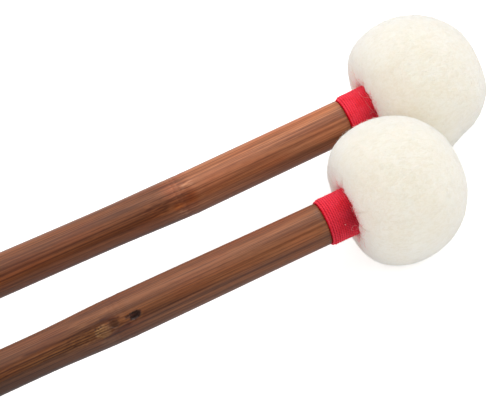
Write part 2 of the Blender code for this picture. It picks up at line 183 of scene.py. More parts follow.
def dressed(mesh, prefix, materials, slot, *nodes):
    """Lay a finished mesh down as a piece of its mallet, in place of the nodes that it stands for."""
    mesh.transform(lie(prefix))
    for material in materials:
        mesh.materials.append(material)
    piece = bpy.data.objects.new(mesh.name, mesh)
    bpy.context.scene.collection.objects.link(piece)
    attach(piece, prefix + "_mallet")
    if nodes:
        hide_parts(*nodes)
    return piece


def new_finish(name, roughness, specular=0.5):
    """Material with its node tree and shader."""
    material = bpy.data.materials.new(name)
    material.use_nodes = True
    shader = material.node_tree.nodes["Principled BSDF"]
    shader.inputs["Roughness"].default_value = roughness
    shader.inputs["Specular IOR Level"].default_value = specular
    return material, material.node_tree, shader


def add_node(tree, kind, inputs, **settings):
    """Add a node, set or link its inputs, and return its first output."""
    made = tree.nodes.new("ShaderNode" + kind)
    for key, value in settings.items():
        setattr(made, key, value)
    for key, value in inputs.items():
        if isinstance(value, bpy.types.NodeSocket):
            tree.links.new(value, made.inputs[key])
        else:
            made.inputs[key].default_value = value
    return made.outputs[0]


def blended(tree, factor, low, high, way="MIX"):
    """Mix two colours."""
    made = tree.nodes.new("ShaderNodeMix")
    made.data_type = "RGBA"
    made.blend_type = way
    for index, value in ((0, factor), (6, low), (7, high)):
        if isinstance(value, bpy.types.NodeSocket):
            tree.links.new(value, made.inputs[index])
        else:
            made.inputs[index].default_value = value
    return made.outputs[2]


def ramped(tree, factor, *stops):
    """Colours or levels along a ramp."""
    made = tree.nodes.new("ShaderNodeValToRGB")
    tree.links.new(factor, made.inputs[0])
    while len(made.color_ramp.elements) < len(stops):
        made.color_ramp.elements.new(1.0)
    for element, (place, colour) in zip(made.color_ramp.elements, stops):
        element.position = place
        element.color = colour if isinstance(colour, tuple) else (colour, colour, colour, 1)
    return made.outputs[0]


def stretched(tree, source, scale):
    """Coordinates stretched along the three axes."""
    return add_node(tree, "Mapping", {"Vector": source, "Scale": scale})


def cloudy(tree, source, scale, detail=3.0, roughness=0.55):
    """Noise level between 0 and 1."""
    return add_node(tree, "TexNoise", {"Vector": source, "Scale": scale, "Detail": detail,
                                       "Roughness": roughness})


def raised(tree, shader, height, distance, strength=1.0):
    """Let a height roughen the shader's surface."""
    bump = add_node(tree, "Bump", {"Height": height, "Distance": distance, "Strength": strength})
    tree.links.new(bump, shader.inputs["Normal"])


def noted(tree, name):
    """Level or vector that a mesh keeps under a name."""
    made = tree.nodes.new("ShaderNodeAttribute")
    made.attribute_name = name
    return made


def tinted(tree, colour, factor, tint):
    """Multiply a colour by a tint where the factor is 1."""
    return blended(tree, factor, colour, blended(tree, 1.0, colour, tint, "MULTIPLY"))


def cane_skin(name, dark, middle, light):
    """Sanded and heat-darkened outside of the cane, with fibres along it."""
    material, tree, shader = new_finish(name, 0.40, 0.45)
    along = noted(tree, "grain").outputs["Vector"]
    fibres = cloudy(tree, stretched(tree, along, (2300, 2300, 18)), 1.0, 1.5)
    strands = cloudy(tree, stretched(tree, along, (1500, 1500, 13)), 1.0, 2.0)
    dashes = cloudy(tree, stretched(tree, along, (2600, 2600, 260)), 1.0, 1.0)
    broad = cloudy(tree, stretched(tree, along, (260, 260, 12)), 1.0, 2.0)
    patches = cloudy(tree, stretched(tree, along, (150, 150, 45)), 1.0, 2.0)
    colour = ramped(tree, broad, (0.30, dark), (0.50, middle), (0.70, light))
    colour = tinted(tree, colour, ramped(tree, fibres, (0.50, 0.0), (0.62, 1.0)), (0.66, 0.59, 0.53, 1))
    colour = tinted(tree, colour, ramped(tree, fibres, (0.38, 1.0), (0.50, 0.0)), (1.28, 1.31, 1.34, 1))
    colour = tinted(tree, colour, ramped(tree, strands, (0.52, 0.0), (0.70, 1.0)), (0.93, 0.90, 0.87, 1))
    colour = tinted(tree, colour, ramped(tree, strands, (0.30, 1.0), (0.48, 0.0)), (1.05, 1.06, 1.07, 1))
    colour = tinted(tree, colour, ramped(tree, dashes, (0.56, 0.0), (0.72, 0.8)), (0.80, 0.74, 0.68, 1))
    colour = tinted(tree, colour, ramped(tree, dashes, (0.30, 0.8), (0.44, 0.0)), (1.12, 1.14, 1.16, 1))
    colour = tinted(tree, colour, ramped(tree, patches, (0.45, 0.0), (0.65, 1.0)), (1.05, 0.93, 0.86, 1))
    colour = blended(tree, 1.0, colour, noted(tree, "tint").outputs["Vector"], "MULTIPLY")
    tree.links.new(colour, shader.inputs["Base Color"])
    gloss = ramped(tree, strands, (0.3, 0.27), (0.7, 0.39))
    tree.links.new(gloss, shader.inputs["Roughness"])
    lines = add_node(tree, "Math", {0: fibres, 1: dashes}, operation="ADD")
    raised(tree, shader, lines, 0.00006, 0.5)
    return material


def cane_cut():
    """Cut bamboo: pale ground tissue with dark fibre bundles, denser towards the skin."""
    material, tree, shader = new_finish("cane_cut", 0.75, 0.3)
    place = add_node(tree, "TexCoord", {})
    coords = place.node.outputs["Object"]
    cells = tree.nodes.new("ShaderNodeTexVoronoi")
    tree.links.new(coords, cells.inputs["Vector"])
    cells.inputs["Scale"].default_value = 1500
    dots = ramped(tree, cells.outputs["Distance"], (0.12, 1.0), (0.30, 0.0))
    ground = ramped(tree, cloudy(tree, coords, 900), (0.3, (0.200, 0.100, 0.045, 1)),
                    (0.7, (0.290, 0.160, 0.075, 1)))
    colour = blended(tree, dots, ground, (0.070, 0.030, 0.014, 1))
    tree.links.new(colour, shader.inputs["Base Color"])
    raised(tree, shader, dots, 0.00005, 0.5)
    return material


def wrapped(angle):
    """Angle brought between half a turn back and half a turn on."""
    return np.mod(angle + np.pi, 2 * np.pi) - np.pi


class Skin:
    """Outside of one cane while it is being marked: places on it, its tint and its relief."""

    def __init__(self, prefix, mesh):
        self.culm = CULMS[prefix]
        self.places = points_of(mesh)
        self.distance = -self.places[:, 2]
        self.angle = np.arctan2(self.places[:, 1], self.places[:, 0])
        self.radius = np.hypot(self.places[:, 0], self.places[:, 1])
        self.shown = (self.radius > SEAT_RADIUS + GLANCE) & (self.distance > SHOULDER - GLANCE)
        self.round_places = np.column_stack([np.cos(self.angle), np.sin(self.angle), self.distance])
        self.tint = np.ones((len(self.places), 3))
        self.relief = np.zeros(len(self.places))

    def rough(self, round_scale, long_scale, seed):
        """Noise with features of one over the scales, round and along the cane."""
        return grainy(self.round_places * (round_scale, round_scale, long_scale), 1.0,
                      self.culm["seed"] + seed)

    def stain(self, share, colour):
        """Multiply the tint by a colour where share is 1."""
        self.tint *= 1 + np.clip(share, 0, 1)[:, None] * (np.array(colour) - 1)

    def oval(self, distance, degrees, half_length, half_width, slant=0.0, power=2.0):
        """How far inside an oval each place is: 1 in its middle, 0 from its rim on."""
        along = self.distance - distance
        arc = wrapped(self.angle - math.radians(degrees)) * self.radius + slant * along
        reach = np.abs(along / half_length) ** power + np.abs(arc / half_width) ** power
        return np.clip(1 - reach ** (1 / power), 0, 1)

    def around(self, route):
        """Arcs from the middle of a route of (distance, degrees) points, and the points flattened."""
        middle = math.radians(sum(degrees for _, degrees in route) / len(route))
        arc = wrapped(self.angle - middle) * self.radius
        mean_radius = self.culm["node_radius"]
        points = [np.array((distance, (math.radians(degrees) - middle) * mean_radius))
                  for distance, degrees in route]
        return arc, points

    def gap(self, arc, start, end):
        """Distance of each place from one stretch of a route."""
        run = end - start
        share = ((self.distance - start[0]) * run[0] + (arc - start[1]) * run[1]) / (run @ run)
        share = np.clip(share, 0, 1)
        return np.hypot(self.distance - start[0] - share * run[0], arc - start[1] - share * run[1])

    def line(self, route, half_width):
        """How near each place is to a line along (distance, degrees) points: 1 on it, then falling."""
        arc, points = self.around(route)
        gaps = [self.gap(arc, start, end) for start, end in zip(points, points[1:])]
        return np.exp(-(np.min(gaps, axis=0) / half_width) ** 2)

    def patch(self, corners, softness, wander=0.0):
        """How far inside an outline of (distance, degrees) corners each place is: 0 outside, 1 inside."""
        arc, points = self.around(corners)
        inside = np.zeros(len(arc), bool)
        gaps = []
        for start, end in zip(points, points[1:] + points[:1]):
            run = end - start
            crossed = (start[1] > arc) != (end[1] > arc)
            meets = start[0] + (arc - start[1]) * run[0] / (run[1] if run[1] else 1)
            inside ^= crossed & (self.distance < meets)
            gaps.append(self.gap(arc, start, end))
        depth = np.min(gaps, axis=0) * np.where(inside, 1, -1) + wander
        return np.clip(0.5 + depth / softness, 0, 1)


# Heat-darkening: it is stronger from the first node on, towards the butt, and weaker on the side that faces the
# light, which is painted light
HEAT_START = {"front": 0.030, "back": 0.077}
HEAT_LENGTH = {"front": 0.120, "back": 0.014}
HEAT_TINT = {"front": (0.29, 0.24, 0.17), "back": (0.57, 0.48, 0.36)}
HEAT_SHARE = {"front": 0.90, "back": 1.0}
HEAT_ON_LIT_SIDE = {"front": -0.36, "back": -0.05}
EARLY_HEAT_START = 0.035
EARLY_HEAT_LENGTH = 0.050
EARLY_HEAT_TINT = {"front": (0.88, 0.89, 0.92), "back": (0.80, 0.82, 0.86)}
LATE_HEAT_TINT = {"front": (1.0, 1.0, 1.0), "back": (0.80, 0.84, 0.88)}
# Painted shade along the front cane's top edge and a painted highlight along the back cane's, in a band as
# narrow as given next
TOP_PAINTED_LIGHT_AND_SHADE = {"front": (0.88, 0.78, 0.68), "back": (1.25, 1.19, 1.06)}
TOP_NARROWNESS = {"front": 6, "back": 12}
SHOULDER_TINT = (0.76, 0.83, 0.88)
# Painted light and shade: each cane is painted lighter on the side that faces the light and darker on the side
# away from it, at the angle given next
PAINTED_LIGHT_SIDE = {"front": 0.36, "back": 0.46}
LIT_SIDE_ANGLE = math.radians(-205)
SHOULDER_FADE = 0.0014
FLUTE_DEPTH = 0.000030
# Darker fibre bundles: angle round the cane, first and last distance, half width, darkness
STREAKS = {
    "front": ((-118, 0.0262, 0.060, 0.00022, 0.55), (-110, 0.0262, 0.090, 0.00022, 0.75),
              (-97, 0.0262, 0.100, 0.00022, 0.60), (-139, 0.0262, 0.060, 0.00022, 0.38),
              (-146, 0.0450, 0.110, 0.00025, 0.42), (-157, 0.0300, 0.110, 0.00018, 0.28),
              (-182, 0.0300, 0.125, 0.00022, 0.28), (-103, 0.0520, 0.074, 0.00020, 0.45),
              (-132, 0.0600, 0.090, 0.00020, 0.22), (-124, 0.0660, 0.112, 0.00020, 0.25),
              (60, 0.030, 0.300, 0.00040, 0.6), (10, 0.120, 0.340, 0.00030, 0.5)),
    "back": ((-192, 0.026, 0.066, 0.00020, 0.35), (-178, 0.026, 0.046, 0.00020, 0.22),
             (-164, 0.026, 0.055, 0.00022, 0.35), (-157, 0.053, 0.075, 0.00022, 0.50),
             (-150, 0.042, 0.060, 0.00020, 0.25), (-142, 0.026, 0.046, 0.00020, 0.32),
             (-136, 0.045, 0.066, 0.00022, 0.42), (-129, 0.026, 0.070, 0.00022, 0.42),
             (-118, 0.026, 0.078, 0.00022, 0.50), (-106, 0.034, 0.052, 0.00020, 0.28),
             (-91, 0.026, 0.060, 0.00020, 0.40), (-137, 0.088, 0.150, 0.00025, 0.30),
             (-108, 0.088, 0.140, 0.00020, 0.30), (-156, 0.100, 0.140, 0.00020, 0.35),
             (-191, 0.098, 0.150, 0.00020, 0.40), (-122, 0.110, 0.150, 0.00020, 0.30),
             (40, 0.040, 0.260, 0.00040, 0.6), (110, 0.060, 0.320, 0.00030, 0.5)),
}
STREAK_DRIFT = {"front": math.radians(-100), "back": math.radians(110)}
STREAK_TINT = (0.42, 0.34, 0.28)


def weathered(skin, prefix):
    """What the whole cane has: flutes, heat, dark fibre bundles, a darker band next to the thread, and painted
    light and shade round it.
    """
    flutes = skin.rough(6, 8, 0) + 0.6 * skin.rough(13, 14, 5)
    skin.relief += FLUTE_DEPTH * flutes
    # Painted light and shade round the cane: lighter towards the light, darker away from it
    pale = PAINTED_LIGHT_SIDE[prefix] * np.cos(skin.angle - LIT_SIDE_ANGLE)
    skin.tint *= (1 + pale * skin.shown)[:, None]
    heat = eased(0, 1, (skin.distance - HEAT_START[prefix] + 0.006 * flutes) / HEAT_LENGTH[prefix])
    # Heat darkens the lit side less, which paints it lighter still
    heat *= HEAT_SHARE[prefix] + HEAT_ON_LIT_SIDE[prefix] * np.cos(skin.angle - LIT_SIDE_ANGLE)
    skin.stain(heat, HEAT_TINT[prefix])
    early = eased(0, 1, (skin.distance - EARLY_HEAT_START) / EARLY_HEAT_LENGTH)
    towards_lit_side = np.clip(np.cos(skin.angle - LIT_SIDE_ANGLE), 0, 1)
    skin.stain(early * towards_lit_side, EARLY_HEAT_TINT[prefix])
    skin.stain(heat * towards_lit_side, LATE_HEAT_TINT[prefix])
    # Painted shade along the front cane's top edge, painted highlight along the back cane's
    skin.stain(towards_lit_side ** TOP_NARROWNESS[prefix], TOP_PAINTED_LIGHT_AND_SHADE[prefix])
    for degrees, first, last, half_width, darkness in STREAKS[prefix]:
        wander = math.radians(0.8) * grainy(skin.round_places[:, 2:] * (1, 1, 1) * 30, 1.0, degrees)
        wander += STREAK_DRIFT[prefix] * np.clip(skin.distance - first, 0, 0.05)
        arc = wrapped(skin.angle - math.radians(degrees) - wander) * skin.radius
        ends = np.clip((skin.distance - first) / 0.008, 0, 1) * np.clip((last - skin.distance) / 0.012, 0, 1)
        skin.stain(darkness * ends * np.exp(-(arc / half_width) ** 2), STREAK_TINT)
    skin.stain(np.exp(-np.maximum(0, skin.distance - SHOULDER) / SHOULDER_FADE), SHOULDER_TINT)


# Nodes: a flush band with a darker, ragged patch, short dashes and two rings of small pits
RIDGE_HEIGHT = 0.00004
RIDGE_WIDTH = 0.0009
SHEATH_GROOVE = 0.00003
NODE_BAND = 0.0028
NODE_TINT = (0.86, 0.73, 0.66)
NODE_PATCH = ((0.0806, -146), (0.0782, -138), (0.0784, -117), (0.0808, -108), (0.0826, -122), (0.0818, -139))
NODE_DASHES = ((0.0814, -186), (0.0780, -169), (0.0776, -148), (0.0820, -147), (0.0834, -160))
LOW_DASHES = ((0.0874, -97), (0.0842, -98), (0.0812, -90), (0.0806, -79), (0.0836, -67), (0.0876, -67))
NODE_RUST = ((0.0880, -192), (0.0826, -186), (0.0832, -155), (0.0838, -128), (0.0870, -140))
NODE_GOLD = (0.0850, -113, 0.0022, 0.0016)
NODE_RIPPLES = ((0.0948, -149), (0.0910, -150), (0.0846, -136), (0.0842, -112), (0.0886, -103), (0.0930, -110),
                (0.0956, -133))
PIT_RINGS = ((0.0039, 0.00055), (0.0055, 0.00050))
PITS_AROUND = 38
PIT_SIZE = 0.00036
PIT_DEPTH = 0.00005
PIT_TINT = (1.28, 1.48, 1.66)
PIT_SHADOW = (0.80, 0.70, 0.62)


def ringed(skin, node, strength, seed):
    """One node of a cane."""
    ragged = 0.0003 * skin.rough(2.4, 0, seed) + 0.0003 * skin.rough(9, 300, seed + 1)
    past = skin.distance - node - ragged
    skin.relief += RIDGE_HEIGHT * np.exp(-(past / RIDGE_WIDTH) ** 2)
    skin.relief -= SHEATH_GROOVE * np.exp(-((past - 2 * RIDGE_WIDTH) / (RIDGE_WIDTH / 2)) ** 2)
    side = np.clip(0.5 + 1.2 * skin.rough(1.1, 0, seed + 2), 0, 1)
    skin.stain(strength * side * np.exp(-((past - 0.0020) / NODE_BAND) ** 4), NODE_TINT)
    dashes = skin.rough(26, 420, seed + 3)
    band = strength * np.exp(-((past - 0.002) / NODE_BAND) ** 2)
    skin.stain(band * np.clip(1.8 * dashes, 0, 1), (1.22, 1.30, 1.38))
    skin.stain(band * np.clip(-1.6 * dashes, 0, 1), (0.74, 0.66, 0.62))
    for ring, (beyond, wander) in enumerate(PIT_RINGS):
        turn = wrapped(PITS_AROUND * (skin.angle + ring * np.pi / PITS_AROUND)) / PITS_AROUND
        row = past - beyond - wander * skin.rough(5, 0, seed + 4 + ring)
        reach = np.hypot(turn * skin.radius / (0.8 * PIT_SIZE), row / PIT_SIZE)
        pits = np.exp(-reach ** 2) * np.clip(0.7 + 1.2 * skin.rough(4, 0, seed + 6 + ring), 0, 1)
        skin.relief -= PIT_DEPTH * pits
        skin.stain(strength * pits, PIT_TINT)
        shadow = np.exp(-np.hypot(turn * skin.radius / PIT_SIZE - 0.6, row / PIT_SIZE + 1.2) ** 2)
        skin.stain(strength * shadow, PIT_SHADOW)


def patched(skin):
    """The back cane's first node: a dark red-brown patch, pale dashes, a gold spot and ripples."""
    ragged = 0.0005 * skin.rough(12, 500, 61)
    skin.stain(skin.patch(NODE_PATCH, 0.0024, 2.4 * ragged), (1.02, 0.82, 0.50))
    skin.stain(skin.patch(NODE_RUST, 0.0030, ragged), (1.06, 0.90, 0.84))
    skin.stain(2 * skin.oval(*NODE_GOLD), (1.10, 0.92, 0.66))
    dashes = skin.rough(17, 280, 63)
    pale = skin.patch(NODE_DASHES, 0.0015, ragged) + skin.patch(LOW_DASHES, 0.0015, ragged)
    skin.stain(pale * np.clip(0.15 + 2.4 * dashes, 0, 1), (1.32, 1.62, 2.00))
    skin.stain(pale * np.clip(-2.0 * dashes, 0, 1), (0.76, 0.66, 0.60))
    ripples = skin.patch(NODE_RIPPLES, 0.0025, ragged)
    dashes = skin.rough(15, 400, 66)
    skin.stain(ripples * np.clip(0.2 + 2.6 * dashes, 0, 1), (1.42, 1.48, 1.45))
    skin.stain(ripples * np.clip(-2.6 * dashes, 0, 1), (0.84, 0.72, 0.60))


# Branch scar at the front cane's first node: a bud hole with a small tail, a rounded hollow, a rough
# pale patch of bare wood, and the groove that runs on from it. Each outline and line is given by
# points: distance along the cane and angle round it.
BUD_HOLE = ((0.0910, -135), (0.0900, -137), (0.0886, -137), (0.0876, -132), (0.0879, -124), (0.0888, -119),
            (0.0900, -117), (0.0912, -119), (0.0914, -123), (0.0911, -128))
BUD_HOLE_DEPTH = 0.0008
BUD_HOLE_TINT = (0.27, 0.24, 0.30)
BUD_PITH = ((0.0902, -134), (0.0882, -132), (0.0886, -122), (0.0903, -121))
BUD_STREAK = ((0.0908, -131), (0.0893, -127))
BUD_TAIL = ((0.0923, -131), (0.0918, -131.5), (0.0912, -132))
BUD_RIM = ((0.0874, -124), (0.0882, -116), (0.0894, -112.5), (0.0912, -115.5))
SCAR_BRIDGE = ((0.0918, -131), (0.0948, -136), (0.0952, -122), (0.0946, -118), (0.0918, -121))
SCAR_HOLLOW = ((0.0964, -139), (0.0950, -135), (0.0948, -126), (0.0957, -119), (0.0970, -119), (0.0981, -127),
               (0.0981, -135), (0.0974, -139))
SCAR_HOLLOW_CORE = ((0.0972, -138), (0.0952, -136), (0.0951, -125), (0.0970, -124))
SCAR_HOLLOW_DEPTH = 0.00035
SCAR_WOOD = ((0.0976, -123), (0.0980, -111), (0.0996, -104), (0.1012, -108), (0.1026, -118), (0.1024, -130),
             (0.1006, -138), (0.0992, -139), (0.0984, -132))
SCAR_WOOD_DEPTH = 0.00018
SCAR_NICKS = ((0.1021, -136, 0.0006, 0.00045), (0.1012, -133.5, 0.0004, 0.0004), (0.1003, -136, 0.0005, 0.0004))
SCAR_DASHES = ((0.0960, -171), (0.1000, -175), (0.1090, -170), (0.1080, -153), (0.1010, -152), (0.0968, -158))
SCAR_BROW = ((0.0944, -139), (0.0964, -142), (0.0978, -144), (0.0998, -145.5), (0.1026, -144), (0.1110, -145),
             (0.1190, -149), (0.1250, -151))
SCAR_RUST = ((0.0994, -155), (0.0962, -150), (0.0952, -144), (0.0976, -145), (0.0998, -149))
SCAR_LIP = ((0.0914, -123), (0.0934, -119), (0.0950, -117), (0.0966, -115), (0.0978, -111), (0.0994, -107),
            (0.1008, -107))
SCAR_SHADOW = ((0.0926, -112), (0.0940, -111), (0.0954, -109), (0.0970, -105), (0.0982, -102), (0.1000, -101))
SCAR_SMUDGE = (0.0992, -88, 0.0036, 0.0024)
SULCUS_ANGLE = -124
SULCUS_START = 0.0985
SULCUS_LENGTH = 0.075
SULCUS_WIDTH = 0.0025
SULCUS_DEPTH = 0.00022
SULCUS_LINE = 0.00080


def scarred(skin):
    """The branch scar and its groove."""
    rough = skin.rough(16, 900, 31)
    grit = skin.rough(15, 1900, 33)
    arc = wrapped(skin.angle - math.radians(SULCUS_ANGLE)) * skin.radius
    run = np.clip((skin.distance - SULCUS_START) / 0.003, 0, 1)
    run *= np.clip(1 - (skin.distance - SULCUS_START) / SULCUS_LENGTH, 0, 1)
    sulcus = run * np.exp(-(arc / SULCUS_WIDTH) ** 4)
    lines = np.cos(2 * np.pi * (arc + 0.00040 * skin.rough(0, 160, 35)) / SULCUS_LINE + 2 * rough)
    skin.relief -= SULCUS_DEPTH * run * np.exp(-(arc / SULCUS_WIDTH) ** 2) * (0.85 + 0.15 * lines)
    skin.stain(sulcus, (1.12, 1.12, 0.86))
    skin.stain(sulcus * np.clip(-1.3 * lines, 0, 1) * np.clip(0.8 + rough, 0, 1), (0.56, 0.48, 0.38))
    skin.stain(sulcus * np.clip(1.8 * lines - 0.5, 0, 1) * np.clip(0.8 - rough, 0, 1), (1.60, 1.90, 1.95))
    dashes = skin.patch(SCAR_DASHES, 0.0030, 0.0003 * rough) * skin.rough(17, 320, 37)
    skin.stain(np.clip(1.8 * dashes, 0, 1), (1.20, 1.32, 1.36))
    glow = skin.oval(0.0900, -112, 0.0060, 0.0026)
    skin.stain(glow, (1.12, 0.90, 0.72))
    skin.stain(0.9 * skin.line(SCAR_BROW, 0.00040), (0.40, 0.30, 0.24))
    skin.stain(skin.patch(SCAR_RUST, 0.0010, 0.0003 * rough), (0.74, 0.54, 0.44))
    skin.stain(0.9 * skin.line(SCAR_SHADOW, 0.00090), (0.60, 0.46, 0.40))
    smudge = skin.oval(*SCAR_SMUDGE)
    skin.stain(2.5 * smudge * np.clip(0.7 + 1.2 * rough, 0, 1), (1.20, 1.60, 2.40))
    skin.stain(skin.patch(SCAR_BRIDGE, 0.0008), (1.28, 1.34, 1.20))
    hollow = skin.patch(SCAR_HOLLOW, 0.0007, 0.00012 * rough)
    core = skin.patch(SCAR_HOLLOW_CORE, 0.0006, 0.0002 + 0.00015 * rough)
    skin.relief -= SCAR_HOLLOW_DEPTH * hollow
    skin.stain(hollow, (0.76, 0.80, 0.84))
    skin.stain(core, (0.72, 0.66, 0.62))
    wood = skin.patch(SCAR_WOOD, 0.0006, 0.0003 * grit)
    skin.relief -= SCAR_WOOD_DEPTH * wood * (1 + 0.8 * grit)
    skin.stain(wood, (1.50, 2.02, 2.60))
    skin.stain(wood * np.clip(1.8 * grit - 0.1, 0, 1), (0.78, 0.70, 0.62))
    for nick in SCAR_NICKS:
        mark = skin.oval(*nick)
        skin.relief -= 0.0002 * mark
        skin.stain(1.8 * mark, (0.46, 0.36, 0.30))
    lip = skin.line(SCAR_LIP, 0.00028)
    skin.relief += 0.00008 * lip
    skin.stain(lip, (1.30, 1.55, 1.65))
    hole = skin.patch(BUD_HOLE, 0.0005, 0.00016 * rough)
    tail = skin.line(BUD_TAIL, 0.00040)
    skin.stain(skin.line(BUD_RIM, 0.00030), (1.15, 1.38, 1.40))
    skin.relief -= BUD_HOLE_DEPTH * np.clip(2 * hole - 1, 0, 1) + 0.0002 * tail
    skin.stain(1.4 * hole, BUD_HOLE_TINT)
    skin.stain(skin.patch(BUD_PITH, 0.0006, 0.0004 * grit), (0.62, 0.60, 0.62))
    skin.stain(skin.line(BUD_STREAK, 0.00022), (1.9, 1.5, 1.5))
    skin.stain(1.2 * tail, (0.32, 0.25, 0.23))


def shaft_rings(prefix):
    """Distances of a shaft's rings, closer together at the nodes and marks."""
    butt = butt_distance(prefix)
    culm = CULMS[prefix]
    places = set(np.round(np.arange(SHOULDER + SHOULDER_CHAMFER, butt - BUTT_ROUNDING, CANE_STEP), 6))
    spans = [(node - NODE_REACH, node + 2 * NODE_REACH, NODE_STEP) for node in culm["nodes"]]
    for low, high, step in spans + [culm["fine"] + (FINE_STEP,)]:
        high = min(high, butt - BUTT_ROUNDING)
        places = {place for place in places if not low - step < place < high + step}
        places |= set(np.round(np.arange(low, high, step), 6))
    return sorted(places) + [butt - BUTT_ROUNDING]


def make_shaft(prefix, finish, cut):
    """One bamboo shaft with its seat, lumen, nodes, fibres and marks."""
    culm = CULMS[prefix]
    butt = butt_distance(prefix)
    head_floor = -(culm["nodes"][0] - DIAPHRAGM_HALF)
    butt_floor = -(culm["nodes"][-1] + DIAPHRAGM_HALF)
    rings = shaft_rings(prefix)
    radii = culm_radius(culm, np.array(rings))
    profile = [(0, head_floor), (LUMEN_RADIUS, head_floor), (LUMEN_RADIUS, SEAT_TOP)]
    profile += [(SEAT_RADIUS, SEAT_TOP), (SEAT_RADIUS, -SHOULDER)]
    profile += [(HEAD_END_RADIUS - SHOULDER_CHAMFER, -SHOULDER)]
    profile += [(radius, -place) for radius, place in zip(radii, rings)]
    rim = radii[-1] - BUTT_ROUNDING
    for degrees in (30, 60, 90):
        angle = math.radians(degrees)
        profile.append((rim + BUTT_ROUNDING * math.cos(angle),
                        BUTT_ROUNDING - butt - BUTT_ROUNDING * math.sin(angle)))
    profile += [(LUMEN_RADIUS, -butt), (LUMEN_RADIUS, butt_floor), (0, butt_floor)]
    bm = turned(profile, CANE_SIDES)
    for face in bm.faces:
        middle = face.calc_center_median()
        outside = math.hypot(middle.x, middle.y) > SEAT_RADIUS + GLANCE and -middle.z > SHOULDER
        flat_butt = middle.z < GLANCE - butt
        face.material_index = 0 if outside and not flat_butt else 1
    mesh = as_mesh(bm, prefix + "_bamboo_shaft")
    skin = Skin(prefix, mesh)
    weathered(skin, prefix)
    waves = np.zeros(len(skin.places))
    for index, node in enumerate(culm["nodes"]):
        ringed(skin, node, 0.45 if prefix == "front" else 1.0, 10 * index)
        waves += np.exp(-np.abs(skin.distance - node - 0.003) / 0.006)
    if prefix == "front":
        scarred(skin)
    else:
        patched(skin)
    bend = 0.00007 * waves * np.sin(skin.distance / 0.0030 * 2 * np.pi + 2 * skin.rough(3, 0, 50))
    turn = skin.angle + bend / np.maximum(skin.radius, GLANCE)
    note(mesh, "grain", np.column_stack([skin.radius * np.cos(turn), skin.radius * np.sin(turn),
                                         skin.places[:, 2]]))
    note(mesh, "tint", np.where(skin.shown[:, None], skin.tint, 1))
    share = 1 + skin.relief * skin.shown / np.maximum(skin.radius, GLANCE)
    places = skin.places * np.column_stack([share, share, np.ones(len(share))])
    places[:, 1] += culm_offset(culm, skin.distance)
    set_points(mesh, places)
    return dressed(mesh, prefix, (finish, cut), "bamboo", prefix + "_shaft")


cut_cane = cane_cut()
front_skin = cane_skin("front_cane", (0.185, 0.061, 0.020, 1), (0.222, 0.076, 0.026, 1),
                       (0.262, 0.093, 0.034, 1))
back_skin = cane_skin("back_cane", (0.250, 0.084, 0.031, 1), (0.306, 0.107, 0.042, 1),
                      (0.362, 0.132, 0.055, 1))
front_shaft = make_shaft("front", front_skin, cut_cane)
back_shaft = make_shaft("back", back_skin, cut_cane)

# Butt plugs and head dowels
# A short beech plug closes each cane's bore flush with its butt. A longer beech dowel, glued into
# the head end, carries the head's core and keeps the cane from being crushed by its binding.
DOWEL_RADIUS = 0.0027
DOWEL_SIDES = 56
DOWEL_BEVEL = 0.0003


def beech_wood():
    """Plain turned beech with fine rays."""
    material, tree, shader = new_finish("beech", 0.6, 0.35)
    coords = add_node(tree, "TexCoord", {}).node.outputs["Object"]
    rings = cloudy(tree, stretched(tree, coords, (60, 1400, 1400)), 1.0, 3.0)
    rays = cloudy(tree, stretched(tree, coords, (500, 4200, 4200)), 1.0, 1.0)
    colour = ramped(tree, rings, (0.3, (0.47, 0.29, 0.15, 1)), (0.7, (0.62, 0.42, 0.25, 1)))
    deep = blended(tree, 1.0, colour, (0.72, 0.64, 0.56, 1), "MULTIPLY")
    colour = blended(tree, ramped(tree, rays, (0.60, 0.0), (0.72, 0.8)), colour, deep)
    tree.links.new(colour, shader.inputs["Base Color"])
    raised(tree, shader, rings, 0.00003, 0.5)
    return material


def make_dowel(prefix, kind, wood):
    """Dowel or plug between the ends of its node, with bevelled rims."""
    low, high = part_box(prefix + kind)
    to_mallet = lie(prefix).inverted()
    node = frame["nodes"][prefix + kind]
    places = np.array([to_mallet @ corner.co for corner in node.data.vertices])
    bottom, top = places[:, 2].min(), places[:, 2].max()
    bm = turned([(0, top), (DOWEL_RADIUS, top), (DOWEL_RADIUS, bottom), (0, bottom)], DOWEL_SIDES)
    rims = [edge for edge in bm.edges if edge.calc_face_angle(0) > 1]
    bmesh.ops.bevel(bm, geom=rims, offset=DOWEL_BEVEL, segments=3, profile=0.5, affect="EDGES", material=-1)
    bmesh.ops.translate(bm, verts=bm.verts[:], vec=(0, (places[:, 1].min() + places[:, 1].max()) / 2, 0))
    return dressed(as_mesh(bm, prefix + kind + "_turned"), prefix, (wood,), "dowel_wood", prefix + kind)


beech = beech_wood()
for side in ("front", "back"):
    make_dowel(side, "_butt_plug", beech)
    make_dowel(side, "_head_dowel", beech)

# Cores
# A turned core of light wood with a stepped blind bore for the shaft and its dowel. It gives the
# head its weight, and everything soft is built up round it.
CORE_SIDES = 96
CORE_BEVEL = 0.0005


def copied_round(prefix, kind, sides, bevel=0.0):
    """Copy a turned node's mesh into its mallet's frame, merged and simplified."""
    node = frame["nodes"][prefix + kind]
    bm = bmesh.new()
    bm.from_mesh(node.data)
    bmesh.ops.transform(bm, verts=bm.verts[:], matrix=lie(prefix).inverted())
    bmesh.ops.remove_doubles(bm, verts=bm.verts[:], dist=0.00001)
    bmesh.ops.dissolve_limit(bm, angle_limit=math.radians(1), verts=bm.verts[:], edges=bm.edges[:])
    return bm


